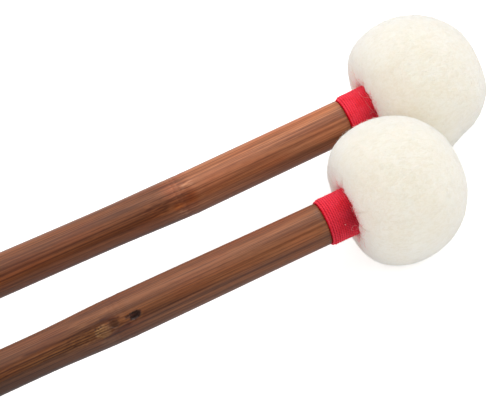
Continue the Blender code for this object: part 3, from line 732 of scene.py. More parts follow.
def core_wood():
    """Light turned wood, matte, with rings across the core."""
    material, tree, shader = new_finish("core_wood", 0.8, 0.3)
    coords = add_node(tree, "TexCoord", {}).node.outputs["Object"]
    rings = cloudy(tree, stretched(tree, coords, (120, 900, 900)), 1.0, 3.0)
    colour = ramped(tree, rings, (0.3, (0.40, 0.25, 0.13, 1)), (0.7, (0.56, 0.38, 0.22, 1)))
    tree.links.new(colour, shader.inputs["Base Color"])
    raised(tree, shader, rings, 0.00004, 0.6)
    return material


wood_of_core = core_wood()
for side in ("front", "back"):
    frame["nodes"][side + "_core"].data.materials.clear()
    frame["nodes"][side + "_core"].data.materials.append(wood_of_core)

# Firm felt: roll, pads and liner, with the liner's tie
# A strip of pressed felt is wound round each core and a pad lies on each of its ends. A firm felt
# liner is gathered over them and tied to the shaft's seat with plain thread.


def pressed_felt(name, low, high):
    """Dense pressed wool."""
    material, tree, shader = new_finish(name, 0.95, 0.2)
    coords = add_node(tree, "TexCoord", {}).node.outputs["Object"]
    clouds = cloudy(tree, coords, 700, 4.0)
    fibres = cloudy(tree, coords, 4200, 3.0)
    tree.links.new(ramped(tree, clouds, (0.3, low), (0.7, high)), shader.inputs["Base Color"])
    raised(tree, shader, fibres, 0.0001, 0.7)
    return material


firm_felt = pressed_felt("firm_felt", (0.55, 0.53, 0.49, 1), (0.66, 0.64, 0.60, 1))
tie_cotton = pressed_felt("tie_cotton", (0.70, 0.64, 0.50, 1), (0.80, 0.75, 0.62, 1))
for side in ("front", "back"):
    for kind, finish, slot in (("felt_roll", firm_felt, "firm_felt"), ("tip_pad", firm_felt, "firm_felt"),
                               ("neck_pad", firm_felt, "firm_felt"), ("liner", firm_felt, "firm_felt"),
                               ("liner_tie", tie_cotton, "tie_thread")):
        inner = frame["nodes"][side + "_" + kind]
        inner.data.materials.clear()
        inner.data.materials.append(finish)

# Soft felt covers
# A soft, fleecy felt is drawn over the liner, gathered at the back into small folds and bound round
# the shaft's seat. Its outside is a ball, fuller behind, and pressed a little flat where it rests.
COVER_ACROSS = 0.0233
COVER_FRONT = 0.0206
COVER_BACK = 0.0174
LINER_ACROSS = 0.0183
LINER_FRONT = 0.0156
LINER_BACK = 0.0133
POCKET_RADIUS = 0.0080
POCKET_DEPTH = 0.0019
CREST_RADIUS = 0.0093
LIP_HEIGHTS = {"front": -0.0161, "back": -0.0153}
LIP_RADIUS = 0.00745
LIP_RISE = 0.00060
LIP_RISE_ANGLE = math.radians(150)
BORE_RADIUS = 0.0056
NECK_END = -0.0253
BINDING_SHIFT = {"front": 0.00035, "back": 0.00090}
NECK_RADIUS = 0.00655
COVER_SIDES = 400
OUTER_RINGS = 130
BACK_RINGS = 80
INNER_RINGS = 24
DOME_SHARPNESS = 20
# How each ball departs from a plain one: angle from its tip, reach of the swelling and its height,
# then, for a swelling on one side only, the angle round the ball and its reach there
SWELLS = {
    "front": ((12, 20, 0.00025, 0, 0), (80, 25, -0.00080, 0, 0), (126, 17, 0.00085, 0, 0),
              (135, 20, -0.00040, -175, 40)),
    "back": ((18, 25, 0.00100, 0, 0), (80, 25, -0.00070, 0, 0), (126, 17, 0.00080, 0, 0),
             (72, 15, -0.00170, -50, 45)),
}
RESTING_REACH = math.radians(35)
STAIN_REACH = 0.0009
STAIN_WIDER = 0.0032
RUBBED_ANGLE = math.radians(-132)
RUBBED_REACH = math.radians(48)
GATHER_DEPTH = 0.00026
GATHER_REACH = 0.0060
# Creases that run out from the neck: angle round the mallet, first and last radius, depth
CREASES = {
    "front": ((-129, 0.0105, 0.0172, 0.00034), (-106, 0.0100, 0.0160, 0.00036), (-180, 0.0080, 0.0150, 0.00045),
              (-70, 0.0085, 0.0125, 0.00025), (-30, 0.0085, 0.0150, 0.00030), (8, 0.0080, 0.0135, 0.00035),
              (44, 0.0085, 0.0150, 0.00030), (82, 0.0080, 0.0140, 0.00035), (118, 0.0090, 0.0155, 0.00030),
              (151, 0.0085, 0.0125, 0.00025)),
    "back": ((-148, 0.0085, 0.0135, 0.00028), (-112, 0.0090, 0.0150, 0.00026), (-175, 0.0080, 0.0140, 0.00040),
             (-76, 0.0085, 0.0130, 0.00030), (-38, 0.0085, 0.0150, 0.00030), (-4, 0.0080, 0.0140, 0.00035),
             (36, 0.0090, 0.0145, 0.00028), (74, 0.0080, 0.0150, 0.00035), (110, 0.0085, 0.0135, 0.00030),
             (146, 0.0085, 0.0150, 0.00030)),
}
CREASE_HALF_WIDTH = 0.00040
# Crease depth at which the painted shade in a crease is full
CREASE_FULL_SHADE = 0.00040
LUMP_DEPTH = 0.00014
MAT_DEPTH = 0.00005
NAP_DEPTH = 0.00002


def dome(across, front, back, end_radius, front_rings, back_rings):
    """Outline of a head from its tip, round its widest part, to end_radius at the back."""
    points = []
    for ring in range(front_rings + 1):
        angle = math.pi / 2 * ring / front_rings
        points.append((across * math.sin(angle), front * math.cos(angle)))
    last = math.pi - math.asin(end_radius / across)
    for ring in range(1, back_rings + 1):
        angle = math.pi / 2 + (last - math.pi / 2) * ring / back_rings
        depth = -front * math.cos(angle)
        pressed = back / (1 + (back / depth) ** DOME_SHARPNESS) ** (1 / DOME_SHARPNESS)
        points.append((across * math.sin(angle), -pressed))
    return points


def wool(name, low, high, softness):
    """Cream wool: matte, slightly see-through, mottled, pink where red lint has rubbed in, with a faint wider
    pink of painted red light from the thread and painted shade in its creases.
    """
    material, tree, shader = new_finish(name, 0.95, 0.10)
    coords = add_node(tree, "TexCoord", {}).node.outputs["Object"]
    clouds = cloudy(tree, coords, 120, 3.0)
    combed = stretched(tree, coords, (0.5, 1, 1))
    tufts = cloudy(tree, combed, 1000, 5.0, 0.72)
    tufts.node.inputs["Distortion"].default_value = 0.8
    nap = cloudy(tree, combed, 3400, 3.0, 0.6)
    colour = ramped(tree, clouds, (0.35, low), (0.65, high))
    colour = tinted(tree, colour, ramped(tree, tufts, (0.42, 1.0), (0.54, 0.0)), (0.958, 0.942, 0.908, 1))
    # Painted shade in the creases
    colour = tinted(tree, colour, noted(tree, "crease_shade").outputs["Fac"], (0.86, 0.80, 0.72, 1))
    # The lint level also holds a faint painted red light reflected from the thread
    stain = noted(tree, "lint").outputs["Fac"]
    speckled = add_node(tree, "Math", {0: stain, 1: ramped(tree, nap, (0.35, 0.4), (0.65, 1.6))},
                        operation="MULTIPLY")
    red = ramped(tree, stain, (0.0, (0.86, 0.44, 0.38, 1)), (0.7, (0.78, 0.24, 0.22, 1)))
    colour = blended(tree, speckled, colour, red)
    tree.links.new(colour, shader.inputs["Base Color"])
    shader.inputs["Subsurface Weight"].default_value = softness
    shader.inputs["Subsurface Radius"].default_value = (1.0, 0.85, 0.7)
    shader.inputs["Subsurface Scale"].default_value = 0.0016
    shader.inputs["Sheen Weight"].default_value = 1.0
    shader.inputs["Sheen Roughness"].default_value = 0.5
    height = add_node(tree, "Math", {0: tufts, 1: nap}, operation="ADD")
    raised(tree, shader, height, 0.00035, 0.7)
    return material


def red_wool():
    """Felt of the neck, red from the thread that it lies under; it shows in the thread's gaps only."""
    material, tree, shader = new_finish("red_wool", 0.95, 0.0)
    clouds = cloudy(tree, add_node(tree, "TexCoord", {}).node.outputs["Object"], 900)
    colour = ramped(tree, clouds, (0.3, (0.40, 0.005, 0.012, 1)), (0.7, (0.58, 0.010, 0.022, 1)))
    tree.links.new(colour, shader.inputs["Base Color"])
    raised(tree, shader, clouds, 0.0001, 0.5)
    return material


def make_cover(prefix, finish, neck_finish, seed):
    """The felt ball of one mallet, as one closed shell with its folds and its neck."""
    outside = dome(COVER_ACROSS, COVER_FRONT, COVER_BACK, CREST_RADIUS, OUTER_RINGS, BACK_RINGS)
    crest = outside[-1][1]
    for degrees in range(9, 91, 9):
        angle = math.radians(degrees)
        radius = CREST_RADIUS - (CREST_RADIUS - LIP_RADIUS) * math.sin(angle)
        outside.append((radius, crest + (LIP_HEIGHTS[prefix] - crest) * (1 - math.cos(angle))))
    neck = [(NECK_RADIUS, LIP_HEIGHTS[prefix]), (NECK_RADIUS, NECK_END)]
    inside = dome(LINER_ACROSS, LINER_FRONT, LINER_BACK, POCKET_RADIUS, INNER_RINGS, INNER_RINGS // 2)
    floor = inside[-1][1] - POCKET_DEPTH
    neck += [(BORE_RADIUS, NECK_END), (BORE_RADIUS, floor), (POCKET_RADIUS, floor)]
    mesh = as_mesh(turned(outside + neck + inside[::-1], COVER_SIDES), prefix + "_felt_cover")
    places = points_of(mesh)
    radius = np.hypot(places[:, 0], places[:, 1])
    angle = np.arctan2(places[:, 1], places[:, 0])
    reach = np.hypot(radius / COVER_ACROSS, places[:, 2] / COVER_FRONT)
    outer = ((reach > 0.86) | (places[:, 2] < -LINER_BACK - 0.0012)) & (radius > LIP_RADIUS - 0.0002)
    outer |= (places[:, 2] > LINER_FRONT + 0.001)
    skin = outer.astype(float)
    from_lip = np.maximum(radius - LIP_RADIUS, 0)
    behind = (places[:, 2] < -0.006).astype(float)
    beyond_lip = np.clip(from_lip / 0.001, 0, 1)
    push = LUMP_DEPTH * grainy(places, 110, seed)
    push += MAT_DEPTH * grainy(places, 480, seed + 4) + NAP_DEPTH * grainy(places, 1500, seed + 9)
    push *= np.clip(from_lip / 0.002 + (places[:, 2] > 0), 0, 1)
    polar = np.degrees(np.arctan2(radius, places[:, 2]))
    unpressed = 1 - np.exp(-(angle / RESTING_REACH) ** 2)
    for middle, width, height, side, side_reach in SWELLS[prefix]:
        swell = height * np.exp(-((polar - middle) / width) ** 2) * np.clip(from_lip / 0.003, 0, 1)
        if side_reach:
            swell *= np.exp(-(wrapped(angle - math.radians(side)) / math.radians(side_reach)) ** 2)
        push += swell * (unpressed if height < 0 else 1)
    fold = np.cos(11 * angle + 1.2 * np.sin(2 * angle + seed)) + 0.5 * np.cos(17 * angle + seed)
    push += GATHER_DEPTH * fold * behind * np.clip(1 - from_lip / GATHER_REACH, 0, 1) ** 2 * beyond_lip
    shade = np.zeros(len(places))
    for degrees, first, last, depth in CREASES[prefix]:
        bend = 0.0004 * grainy(np.column_stack([radius, radius * 0, radius * 0]) * 260, 1.0, degrees)
        arc = wrapped(angle - math.radians(degrees)) * radius + bend
        share = np.clip((radius - first) / (last - first), 0, 1)
        depth_there = depth * np.sin(np.pi * np.clip(share * 0.92 + 0.08, 0, 1)) * behind
        fold_in = np.exp(-(arc / CREASE_HALF_WIDTH) ** 2) * beyond_lip
        push -= depth_there * fold_in
        # Painted shade in the creases, darker where they are deeper
        shade = np.maximum(shade, fold_in * depth_there / CREASE_FULL_SHADE)
    normal = np.empty(len(mesh.vertices) * 3, np.float32)
    mesh.vertex_normals.foreach_get("vector", normal)
    near_neck = np.exp(-from_lip / 0.0030) * (places[:, 2] < LIP_HEIGHTS[prefix] + 0.0001) * (radius > NECK_RADIUS + GLANCE)
    places += (push * skin)[:, None] * normal.reshape(-1, 3)
    places[:, 2] += LIP_RISE * (1 + np.cos(angle - LIP_RISE_ANGLE)) * near_neck
    spread = STAIN_REACH + STAIN_WIDER * np.exp(-(wrapped(angle - RUBBED_ANGLE) / RUBBED_REACH) ** 2)
    # Pink: lint rubbed in next to the lip; the faint wide second term is painted red light reflected from the
    # thread
    pink = 0.85 * np.exp(-from_lip / spread) + 0.06 * np.exp(-from_lip / 0.008)
    pink += 0.50 * np.exp(-(wrapped(angle - math.pi) * radius / 0.0011) ** 2) * np.exp(-from_lip / 0.0026)
    neck_felt = (radius < LIP_RADIUS - 0.0002) & (places[:, 2] < LIP_HEIGHTS[prefix] + 0.0012)
    note(mesh, "crease_shade", np.clip(shade, 0, 1) * skin)
    note(mesh, "lint", np.clip(pink * behind, 0, 0.8) * skin)
    for face in mesh.polygons:
        face.material_index = int(neck_felt[list(face.vertices)].all())
    set_points(mesh, places)
    piece = dressed(mesh, prefix, (finish, neck_finish), "soft_felt", prefix + "_outer_cover")
    laid = points_of(mesh)
    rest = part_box(prefix + "_outer_cover")[0].z
    sunk = laid[:, 2] < rest + 0.0004
    laid[sunk, 2] = rest + np.log1p(np.exp((laid[sunk, 2] - rest) / 0.00012)) * 0.00012
    set_points(mesh, laid)
    return piece


cover_wool = wool("cover_wool", (0.906, 0.856, 0.736, 1), (0.922, 0.880, 0.778, 1), 0.5)
neck_wool = red_wool()
front_cover = make_cover("front", cover_wool, neck_wool, 2.0)
back_cover = make_cover("back", cover_wool, neck_wool, 7.0)

# Felt nap
# Fine wool fibres stand out of the cover all round, mostly lying down. Each is a thin tapered
# strand, bent a little, rooted just under the felt's surface.
NAP_FIBRES = 5200
NAP_RADIUS = 0.000022
NAP_LENGTHS = (0.0007, 0.0020)
NAP_ROOT = 0.00006
STRANDS_AT_ONCE = 100


def make_fibres(name, roots, lengths, radius, stand, curl, seed):
    """Short strands at (place, normal, lean) roots: stand is how upright they are, curl how bent."""
    chance = random.Random(seed)
    whole = bmesh.new()
    for first in range(0, len(roots), STRANDS_AT_ONCE):
        bm = bmesh.new()
        sag = bm.verts.layers.float_vector.new("sag")
        for place, normal, lean in roots[first:first + STRANDS_AT_ONCE]:
            length = chance.uniform(*lengths)
            side = Vector([chance.gauss(0, 1) for _ in range(3)]) + lean
            side -= side.dot(normal) * normal
            direction = (side.normalized() + normal * chance.uniform(*stand)).normalized()
            turn = direction.to_track_quat("Z", "Y").to_matrix().to_4x4()
            middle = place - normal * NAP_ROOT + direction * (length / 2)
            strand = bmesh.ops.create_cone(bm, cap_ends=True, segments=3, radius1=radius,
                                           radius2=radius * 0.35, depth=length,
                                           matrix=Matrix.Translation(middle) @ turn)
            bend = normal * (length * chance.uniform(*curl))
            for corner in strand["verts"]:
                corner[sag] = bend
        long_edges = [edge for edge in bm.edges if edge.calc_length() > 6 * radius]
        cut = bmesh.ops.subdivide_edges(bm, edges=long_edges, cuts=2, use_grid_fill=True)
        for corner in {part for part in cut["geom_inner"] if isinstance(part, bmesh.types.BMVert)}:
            corner.co += corner[sag]
        bm.verts.layers.float_vector.remove(sag)
        strands = bpy.data.meshes.new("strands")
        bm.to_mesh(strands)
        bm.free()
        whole.from_mesh(strands)
        bpy.data.meshes.remove(strands)
    mesh = bpy.data.meshes.new(name)
    whole.to_mesh(mesh)
    whole.free()
    mesh.shade_smooth()
    return mesh


def felt_roots(cover, prefix, count, seed, fringe=None):
    """Roots spread evenly over the outside of a cover, or over a ring round its lip only."""
    chance = random.Random(seed)
    mesh = cover.data
    back_to = lie(prefix).inverted()
    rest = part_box(prefix + "_outer_cover")[0].z
    areas = np.empty(len(mesh.polygons))
    mesh.polygons.foreach_get("area", areas)
    total = np.cumsum(areas)
    roots = []
    while len(roots) < count:
        face = mesh.polygons[int(np.searchsorted(total, chance.random() * total[-1]))]
        place = face.center.copy()
        local = back_to @ place
        reach = math.hypot(math.hypot(local.x, local.y) / COVER_ACROSS, local.z / COVER_FRONT)
        out = math.hypot(local.x, local.y)
        if fringe:
            rubbed = math.exp(-(wrapped(math.atan2(local.y, local.x) - RUBBED_ANGLE) / RUBBED_REACH) ** 2)
            start = fringe[0] + FRINGE_FARTHER * rubbed
            wanted = (FRINGE_ELSEWHERE + rubbed) * math.exp((start - out) / (FRINGE_FADE * (1 + rubbed)))
            if local.z < 0 and start < out < fringe[1] and chance.random() < wanted:
                away = (lie(prefix).to_3x3() @ Vector((local.x, local.y, 0))).normalized()
                roots.append((place, face.normal.copy(), away * FRINGE_LEAN))
        elif reach > 0.9 and place.z > rest + 0.0012 and out > LIP_RADIUS - 0.0001:
            roots.append((place, face.normal.copy(), Vector()))
    return roots


for side, cover, seed in (("front", front_cover, 21), ("back", back_cover, 22)):
    roots = felt_roots(cover, side, NAP_FIBRES, seed)
    nap_mesh = make_fibres(side + "_felt_nap", roots, NAP_LENGTHS, NAP_RADIUS, (0.05, 0.45), (-0.02, 0.12), seed)
    nap_mesh.transform(lie(side).inverted())
    dressed(nap_mesh, side, (cover_wool,), "soft_felt")

# Thread bindings
# A strong twisted thread is wound round the cover's neck in touching turns, pulled tight at the
# shaft and riding up on the felt at the head. Its ends are tucked under the turns.
THREAD_RADIUS = 0.00040
TURNS = 14
BINDING_START = -0.0261
BINDING_END = -0.0153
BINDING_TILT = {"front": 0.00035, "back": 0.0}
TILT_ANGLE = math.radians(-175)
# Painted shade on the thread: the head's shadow on the turns next to the felt, centred on the angles given, and
# a broad shaded side on the front binding
HEAD_SHADE_START = -0.0222
HEAD_SHADE_LENGTH = 0.0040
SHADE_ANGLES = {"front": -124, "back": -112}
BROAD_SHADE = {"front": 0.56, "back": 0.0}
STEPS_PER_TURN = 280
THREAD_SIDES = 15
PLIES = 3
PLY_DEPTH = 0.11
PLY_LENGTH = 0.0010
TUCKED_STEPS = 30
TUCK_DEPTH = 0.0003
FIRST_TURN_SUNK = 0.00040
# How much painted shade each binding gets in its grooves
GROOVE_SHADE_SHARE = {"front": 1.0, "back": 0.4}


def crimson_thread():
    """Twisted crimson yarn with a slight sheen, and painted shade in its grooves and where the head shades it.
    """
    material, tree, shader = new_finish("crimson_thread", 0.50, 0.06)
    coords = add_node(tree, "TexCoord", {}).node.outputs["Object"]
    clouds = cloudy(tree, coords, 260, 3.0)
    lint = cloudy(tree, coords, 6000, 2.0)
    colour = ramped(tree, clouds, (0.34, (0.90, 0.022, 0.042, 1)), (0.54, (1.0, 0.050, 0.088, 1)))
    pale = blended(tree, 0.35, colour, (0.90, 0.16, 0.20, 1))
    colour = blended(tree, ramped(tree, lint, (0.55, 0.0), (0.75, 1.0)), colour, pale)
    # Painted shade: the head's shadow near the felt and a broad shaded side
    colour = tinted(tree, colour, noted(tree, "painted_shade").outputs["Fac"], (0.50, 0.45, 0.50, 1))
    # Painted shade between the turns and in the valleys between the plies
    colour = tinted(tree, colour, noted(tree, "groove").outputs["Fac"], (0.62, 0.12, 0.20, 1))
    tree.links.new(colour, shader.inputs["Base Color"])
    shader.inputs["Subsurface Weight"].default_value = 0.20
    shader.inputs["Subsurface Radius"].default_value = (1.0, 0.10, 0.12)
    shader.inputs["Subsurface Scale"].default_value = 0.0005
    shader.inputs["Sheen Weight"].default_value = 0.70
    shader.inputs["Sheen Roughness"].default_value = 0.5
    shader.inputs["Sheen Tint"].default_value = (1.0, 0.12, 0.18, 1)
    raised(tree, shader, lint, 0.00006, 0.6)
    return material


def make_binding(prefix, finish, seed):
    """The winding as one thread: a small circle spun along a screw line, then twisted."""
    pitch = (BINDING_END - BINDING_START - 2 * THREAD_RADIUS) / TURNS
    start = BINDING_START + BINDING_SHIFT[prefix] + THREAD_RADIUS
    middle_radius = HEAD_END_RADIUS + THREAD_RADIUS
    bm = bmesh.new()
    layer = bm.verts.layers.float.new("round")
    groove = bm.verts.layers.float.new("groove")
    place = Matrix.Translation((middle_radius, 0, start)) @ Matrix.Rotation(math.pi / 2, 4, "X")
    circle = bmesh.ops.create_circle(bm, segments=THREAD_SIDES, radius=THREAD_RADIUS, matrix=place)
    for corner in circle["verts"]:
        corner[layer] = math.atan2(corner.co.z - start, corner.co.x - middle_radius)
    bmesh.ops.spin(bm, geom=bm.verts[:] + bm.edges[:], cent=(0, 0, 0), axis=(0, 0, 1), dvec=(0, 0, 0),
                   angle=2 * math.pi, steps=STEPS_PER_TURN, use_merge=False, use_duplicate=False)
    one_turn = bpy.data.meshes.new("one_turn")
    bm.to_mesh(one_turn)
    for _ in range(TURNS - 1):
        bm.from_mesh(one_turn)
    bpy.data.meshes.remove(one_turn)
    bm.verts.index_update()
    turn_corners = (STEPS_PER_TURN + 1) * THREAD_SIDES
    steps = TURNS * STEPS_PER_TURN
    step_length = 2 * math.pi * middle_radius / STEPS_PER_TURN
    for corner in bm.verts:
        step = corner.index // turn_corners * STEPS_PER_TURN + corner.index % turn_corners // THREAD_SIDES
        turn = 2 * math.pi * step / STEPS_PER_TURN
        twist = 2 * math.pi * step * step_length / PLY_LENGTH
        wobble = noise.noise(Vector((seed, step / 40, 0)))
        thick = THREAD_RADIUS * (1 - PLY_DEPTH + PLY_DEPTH * math.cos(PLIES * corner[layer] - twist))
        tuck = 1 - min(1.0, step / TUCKED_STEPS, (steps - step) / TUCKED_STEPS)
        pulled = FIRST_TURN_SUNK * max(0.0, 1 - step / (1.5 * STEPS_PER_TURN))
        middle = middle_radius + 0.00003 * wobble - TUCK_DEPTH * tuck - pulled
        radius = middle + thick * math.cos(corner[layer])
        height = start + pitch * step / STEPS_PER_TURN + 0.00002 * wobble + thick * math.sin(corner[layer])
        corner.co = (radius * math.cos(turn), radius * math.sin(turn), height)
        # Painted shade in the grooves between turns and in the valleys between the plies
        beside = abs(corner[layer]) if step > STEPS_PER_TURN else max(0.0, corner[layer])
        between = min(1.0, max(0.0, (beside - 0.65) / 0.45)) * (0.75 + 0.5 * wobble)
        ply = 0.7 * max(0.0, -math.cos(PLIES * corner[layer] - twist)) ** 1.5
        corner[groove] = GROOVE_SHADE_SHARE[prefix] * min(1.0, between + ply)
    bmesh.ops.remove_doubles(bm, verts=bm.verts[:], dist=0.000001)
    bmesh.ops.holes_fill(bm, edges=[edge for edge in bm.edges if edge.is_boundary], sides=0)
    bmesh.ops.recalc_face_normals(bm, faces=bm.faces[:])
    bmesh.ops.rotate(bm, verts=bm.verts[:], cent=(0, 0, 0), matrix=Matrix.Rotation(seed, 3, "Z"))
    mesh = bpy.data.meshes.new(prefix + "_thread_winding")
    bm.to_mesh(mesh)
    bm.free()
    mesh.shade_smooth()
    places = points_of(mesh)
    angle = np.arctan2(places[:, 1], places[:, 0])
    places[:, 2] += BINDING_TILT[prefix] * np.cos(angle - TILT_ANGLE)
    set_points(mesh, places)
    # Painted shade: the head's shadow on the turns near the felt, and a broader shaded side
    off = np.degrees(wrapped(angle - math.radians(SHADE_ANGLES[prefix])))
    near_felt = np.clip((places[:, 2] - HEAD_SHADE_START) / HEAD_SHADE_LENGTH, 0, 1)
    painted_shade = 0.65 * near_felt * np.exp(-(off / 30) ** 2) + BROAD_SHADE[prefix] * np.exp(-((off - 22) / 48) ** 2)
    note(mesh, "painted_shade", painted_shade)
    return dressed(mesh, prefix, (finish,), "binding_thread", prefix + "_binding")


crimson = crimson_thread()
front_winding = make_binding("front", crimson, 0.4)
back_winding = make_binding("back", crimson, 1.9)

# Thread lint
# Short crimson fibres stand out of the thread, and a fringe of them clings to the felt next to it.
LINT_FIBRES = 320
EDGE_FIBRES = 150
EDGE_FIRST = -0.0180
EDGE_LAST = -0.0166
FRINGE_FIBRES = 1700
LINT_RADIUS = 0.000026
EDGE_RADIUS = 0.000030
FRINGE_RADIUS = 0.000034
LINT_LENGTHS = (0.0004, 0.0011)
EDGE_LENGTHS = (0.0003, 0.0010)
FRINGE_LENGTHS = (0.0004, 0.0013)
FRINGE_RING = (0.0080, 0.0135)
FRINGE_LEAN = 0.5
FRINGE_FADE = 0.0011
FRINGE_FARTHER = 0.0008
FRINGE_ELSEWHERE = 0.12


def lint_roots(prefix, count, first, last, seed):
    """Places on a winding, between two heights on it."""
    chance = random.Random(seed)
    lay = lie(prefix)
    roots = []
    for _ in range(count):
        turn = chance.uniform(0, 2 * math.pi)
        outward = Vector((math.cos(turn), math.sin(turn), 0))
        height = chance.uniform(first, last) + BINDING_SHIFT[prefix]
        height += BINDING_TILT[prefix] * math.cos(turn - TILT_ANGLE)
        place = outward * (HEAD_END_RADIUS + 2 * THREAD_RADIUS) + Vector((0, 0, height))
        roots.append((lay @ place, (lay.to_3x3() @ outward).normalized(), Vector()))
    return roots


for side, cover, seed in (("front", front_cover, 31), ("back", back_cover, 32)):
    roots = lint_roots(side, LINT_FIBRES, BINDING_START, BINDING_END, seed)
    lint_mesh = make_fibres(side + "_thread_lint", roots, LINT_LENGTHS, LINT_RADIUS, (0.1, 1.0),
                            (-0.05, 0.15), seed)
    roots = lint_roots(side, EDGE_FIBRES, EDGE_FIRST, EDGE_LAST, seed + 30)
    edge_mesh = make_fibres(side + "_edge", roots, EDGE_LENGTHS, EDGE_RADIUS, (0.6, 2.2), (-0.2, 0.2),
                            seed + 40)
    fringe_roots = felt_roots(cover, side, FRINGE_FIBRES, seed + 10, FRINGE_RING)
    fringe_mesh = make_fibres(side + "_fringe", fringe_roots, FRINGE_LENGTHS, FRINGE_RADIUS,
                              (0.02, 0.12), (-0.01, 0.04), seed + 20)
    both = bmesh.new()
    both.from_mesh(lint_mesh)
    both.from_mesh(edge_mesh)
    both.from_mesh(fringe_mesh)
    both.to_mesh(lint_mesh)
    both.free()
    bpy.data.meshes.remove(edge_mesh)
    bpy.data.meshes.remove(fringe_mesh)
    lint_mesh.transform(lie(side).inverted())
    dressed(lint_mesh, side, (crimson,), "binding_thread")

# Loose wool
# A few pale fibres have come off the felt and cling to the thread: arcs of thin fibre, given by the
# mallet, place along it, angle round it, radius of the arc, its span, its turn and its thickness.
WOOL_STRAYS = (
    ("front", -0.0181, -92, 0.00100, 300, 20, 0.000024), ("front", -0.0207, -111, 0.00022, 120, 70, 0.000060),
    ("front", -0.0176, -84, 0.00160, 60, -20, 0.000020), ("front", -0.0170, -170, 0.00110, 90, 60, 0.000020),
    ("back", -0.0066, -156.5, 0.0116, 30, -89, 0.000028), ("back", -0.0160, -178, 0.00250, 135, -120, 0.000026),
    ("back", -0.0180, -118, 0.00080, 120, 110, 0.000020), ("back", -0.0174, 60, 0.00120, 160, 30, 0.000022),
    ("front", -0.0180, 80, 0.00150, 130, -50, 0.000022),
)
STRAY_TINT = 0.60
STRAY_STEPS = 28
STRAY_LIFT = 0.00006


def make_strays(prefix):
    """The loose fibres on one binding, each a small circle spun along an arc."""
    bm = bmesh.new()
    for mallet, height, degrees, bow, span, turn, thickness in WOOL_STRAYS:
        if mallet != prefix:
            continue
        begin = Matrix.Translation((bow, 0, 0)) @ Matrix.Rotation(math.pi / 2, 4, "X")
        circle = bmesh.ops.create_circle(bm, segments=6, radius=thickness, cap_ends=True, matrix=begin)
        faces = list({face for corner in circle["verts"] for face in corner.link_faces})
        edges = list({edge for corner in circle["verts"] for edge in corner.link_edges})
        bmesh.ops.spin(bm, geom=circle["verts"] + edges + faces, cent=(0, 0, 0), axis=(0, 0, 1), dvec=(0, 0, 0),
                       angle=math.radians(span), steps=STRAY_STEPS, use_merge=False, use_duplicate=False)
        fibre = [corner for corner in bm.verts if not corner.tag]
        outward = HEAD_END_RADIUS + 2 * THREAD_RADIUS + thickness + STRAY_LIFT
        bmesh.ops.rotate(bm, verts=fibre, cent=(0, 0, 0), matrix=Matrix.Rotation(math.radians(turn), 3, "Z"))
        for corner in fibre:
            around = math.radians(degrees) + corner.co.x / outward
            out = outward + corner.co.z
            corner.co = (out * math.cos(around), out * math.sin(around), height + corner.co.y)
            corner.tag = True
    bmesh.ops.recalc_face_normals(bm, faces=bm.faces[:])
    mesh = as_mesh(bm, prefix + "_loose_wool")
    note(mesh, "lint", np.full(len(mesh.vertices), STRAY_TINT))
    return dressed(mesh, prefix, (cover_wool,), "soft_felt")


front_strays = make_strays("front")
back_strays = make_strays("back")

# Floor
# A plain white surface that the mallets lie on. It shows white to the camera and keeps their shadow.
FLOOR_HALF = 3.0
FLOOR_GLOW = 0.52
FLOOR_GLOW_IN_GLOSS = 0.10
FLOOR_WHITE = 0.90
FLOOR_WHITE_IN_GLOSS = 0.58


def seen_rays(tree, in_gloss):
    """1 for rays that show the surroundings themselves, less for reflections, 0 for those that light."""
    rays = tree.nodes.new("ShaderNodeLightPath")
    direct = add_node(tree, "Math", {0: rays.outputs["Is Camera Ray"], 1: rays.outputs["Is Transmission Ray"]},
                      operation="MAXIMUM")
    glossy = add_node(tree, "Math", {0: rays.outputs["Is Glossy Ray"], 1: in_gloss}, operation="MULTIPLY")
    return add_node(tree, "Math", {0: direct, 1: glossy}, operation="MAXIMUM")


floor_bm = bmesh.new()
bmesh.ops.create_grid(floor_bm, x_segments=1, y_segments=1, size=FLOOR_HALF)
floor_mesh = bpy.data.meshes.new("floor")
floor_bm.to_mesh(floor_mesh)
floor_bm.free()
floor = bpy.data.objects.new("floor", floor_mesh)
floor.location.z = -0.00002
bpy.context.scene.collection.objects.link(floor)
floor_finish = bpy.data.materials.new("white_floor")
floor_finish.use_nodes = True
floor_tree = floor_finish.node_tree
floor_tree.nodes.clear()
glow = add_node(floor_tree, "Math", {0: seen_rays(floor_tree, FLOOR_GLOW_IN_GLOSS), 1: FLOOR_GLOW},
                operation="MULTIPLY")
in_gloss = floor_tree.nodes.new("ShaderNodeLightPath").outputs["Is Glossy Ray"]
white = add_node(floor_tree, "MapRange", {0: in_gloss, 3: FLOOR_WHITE, 4: FLOOR_WHITE_IN_GLOSS})
matte = add_node(floor_tree, "BsdfDiffuse", {"Color": white})
shine = add_node(floor_tree, "Emission", {"Color": (1, 1, 1, 1), "Strength": glow})
both = add_node(floor_tree, "AddShader", {0: matte, 1: shine})
surface = floor_tree.nodes.new("ShaderNodeOutputMaterial")
floor_tree.links.new(both, surface.inputs["Surface"])
floor_mesh.materials.append(floor_finish)

# Light
# One broad soft light hangs over the heads, a little behind and to their right, and a pale room
# fills the rest.
KEY_PLACE = Vector((0.40, 0.16, 0.60))
KEY_AIM = Vector((0.10, 0.0, 0.01))
KEY_SIZE = 0.55
KEY_POWER = 0.85
ROOM_LEVEL = 1.10
# The room is dimmer on the side that the pair is looked at from, most of all in its reflections
DIM_SIDE = Vector((-0.26, -0.90, 0.36))
DIM_FOR_LIGHT = 0.22
DIM_FOR_GLOSS = 0.95
LOW_DIM_FOR_GLOSS = 0.50

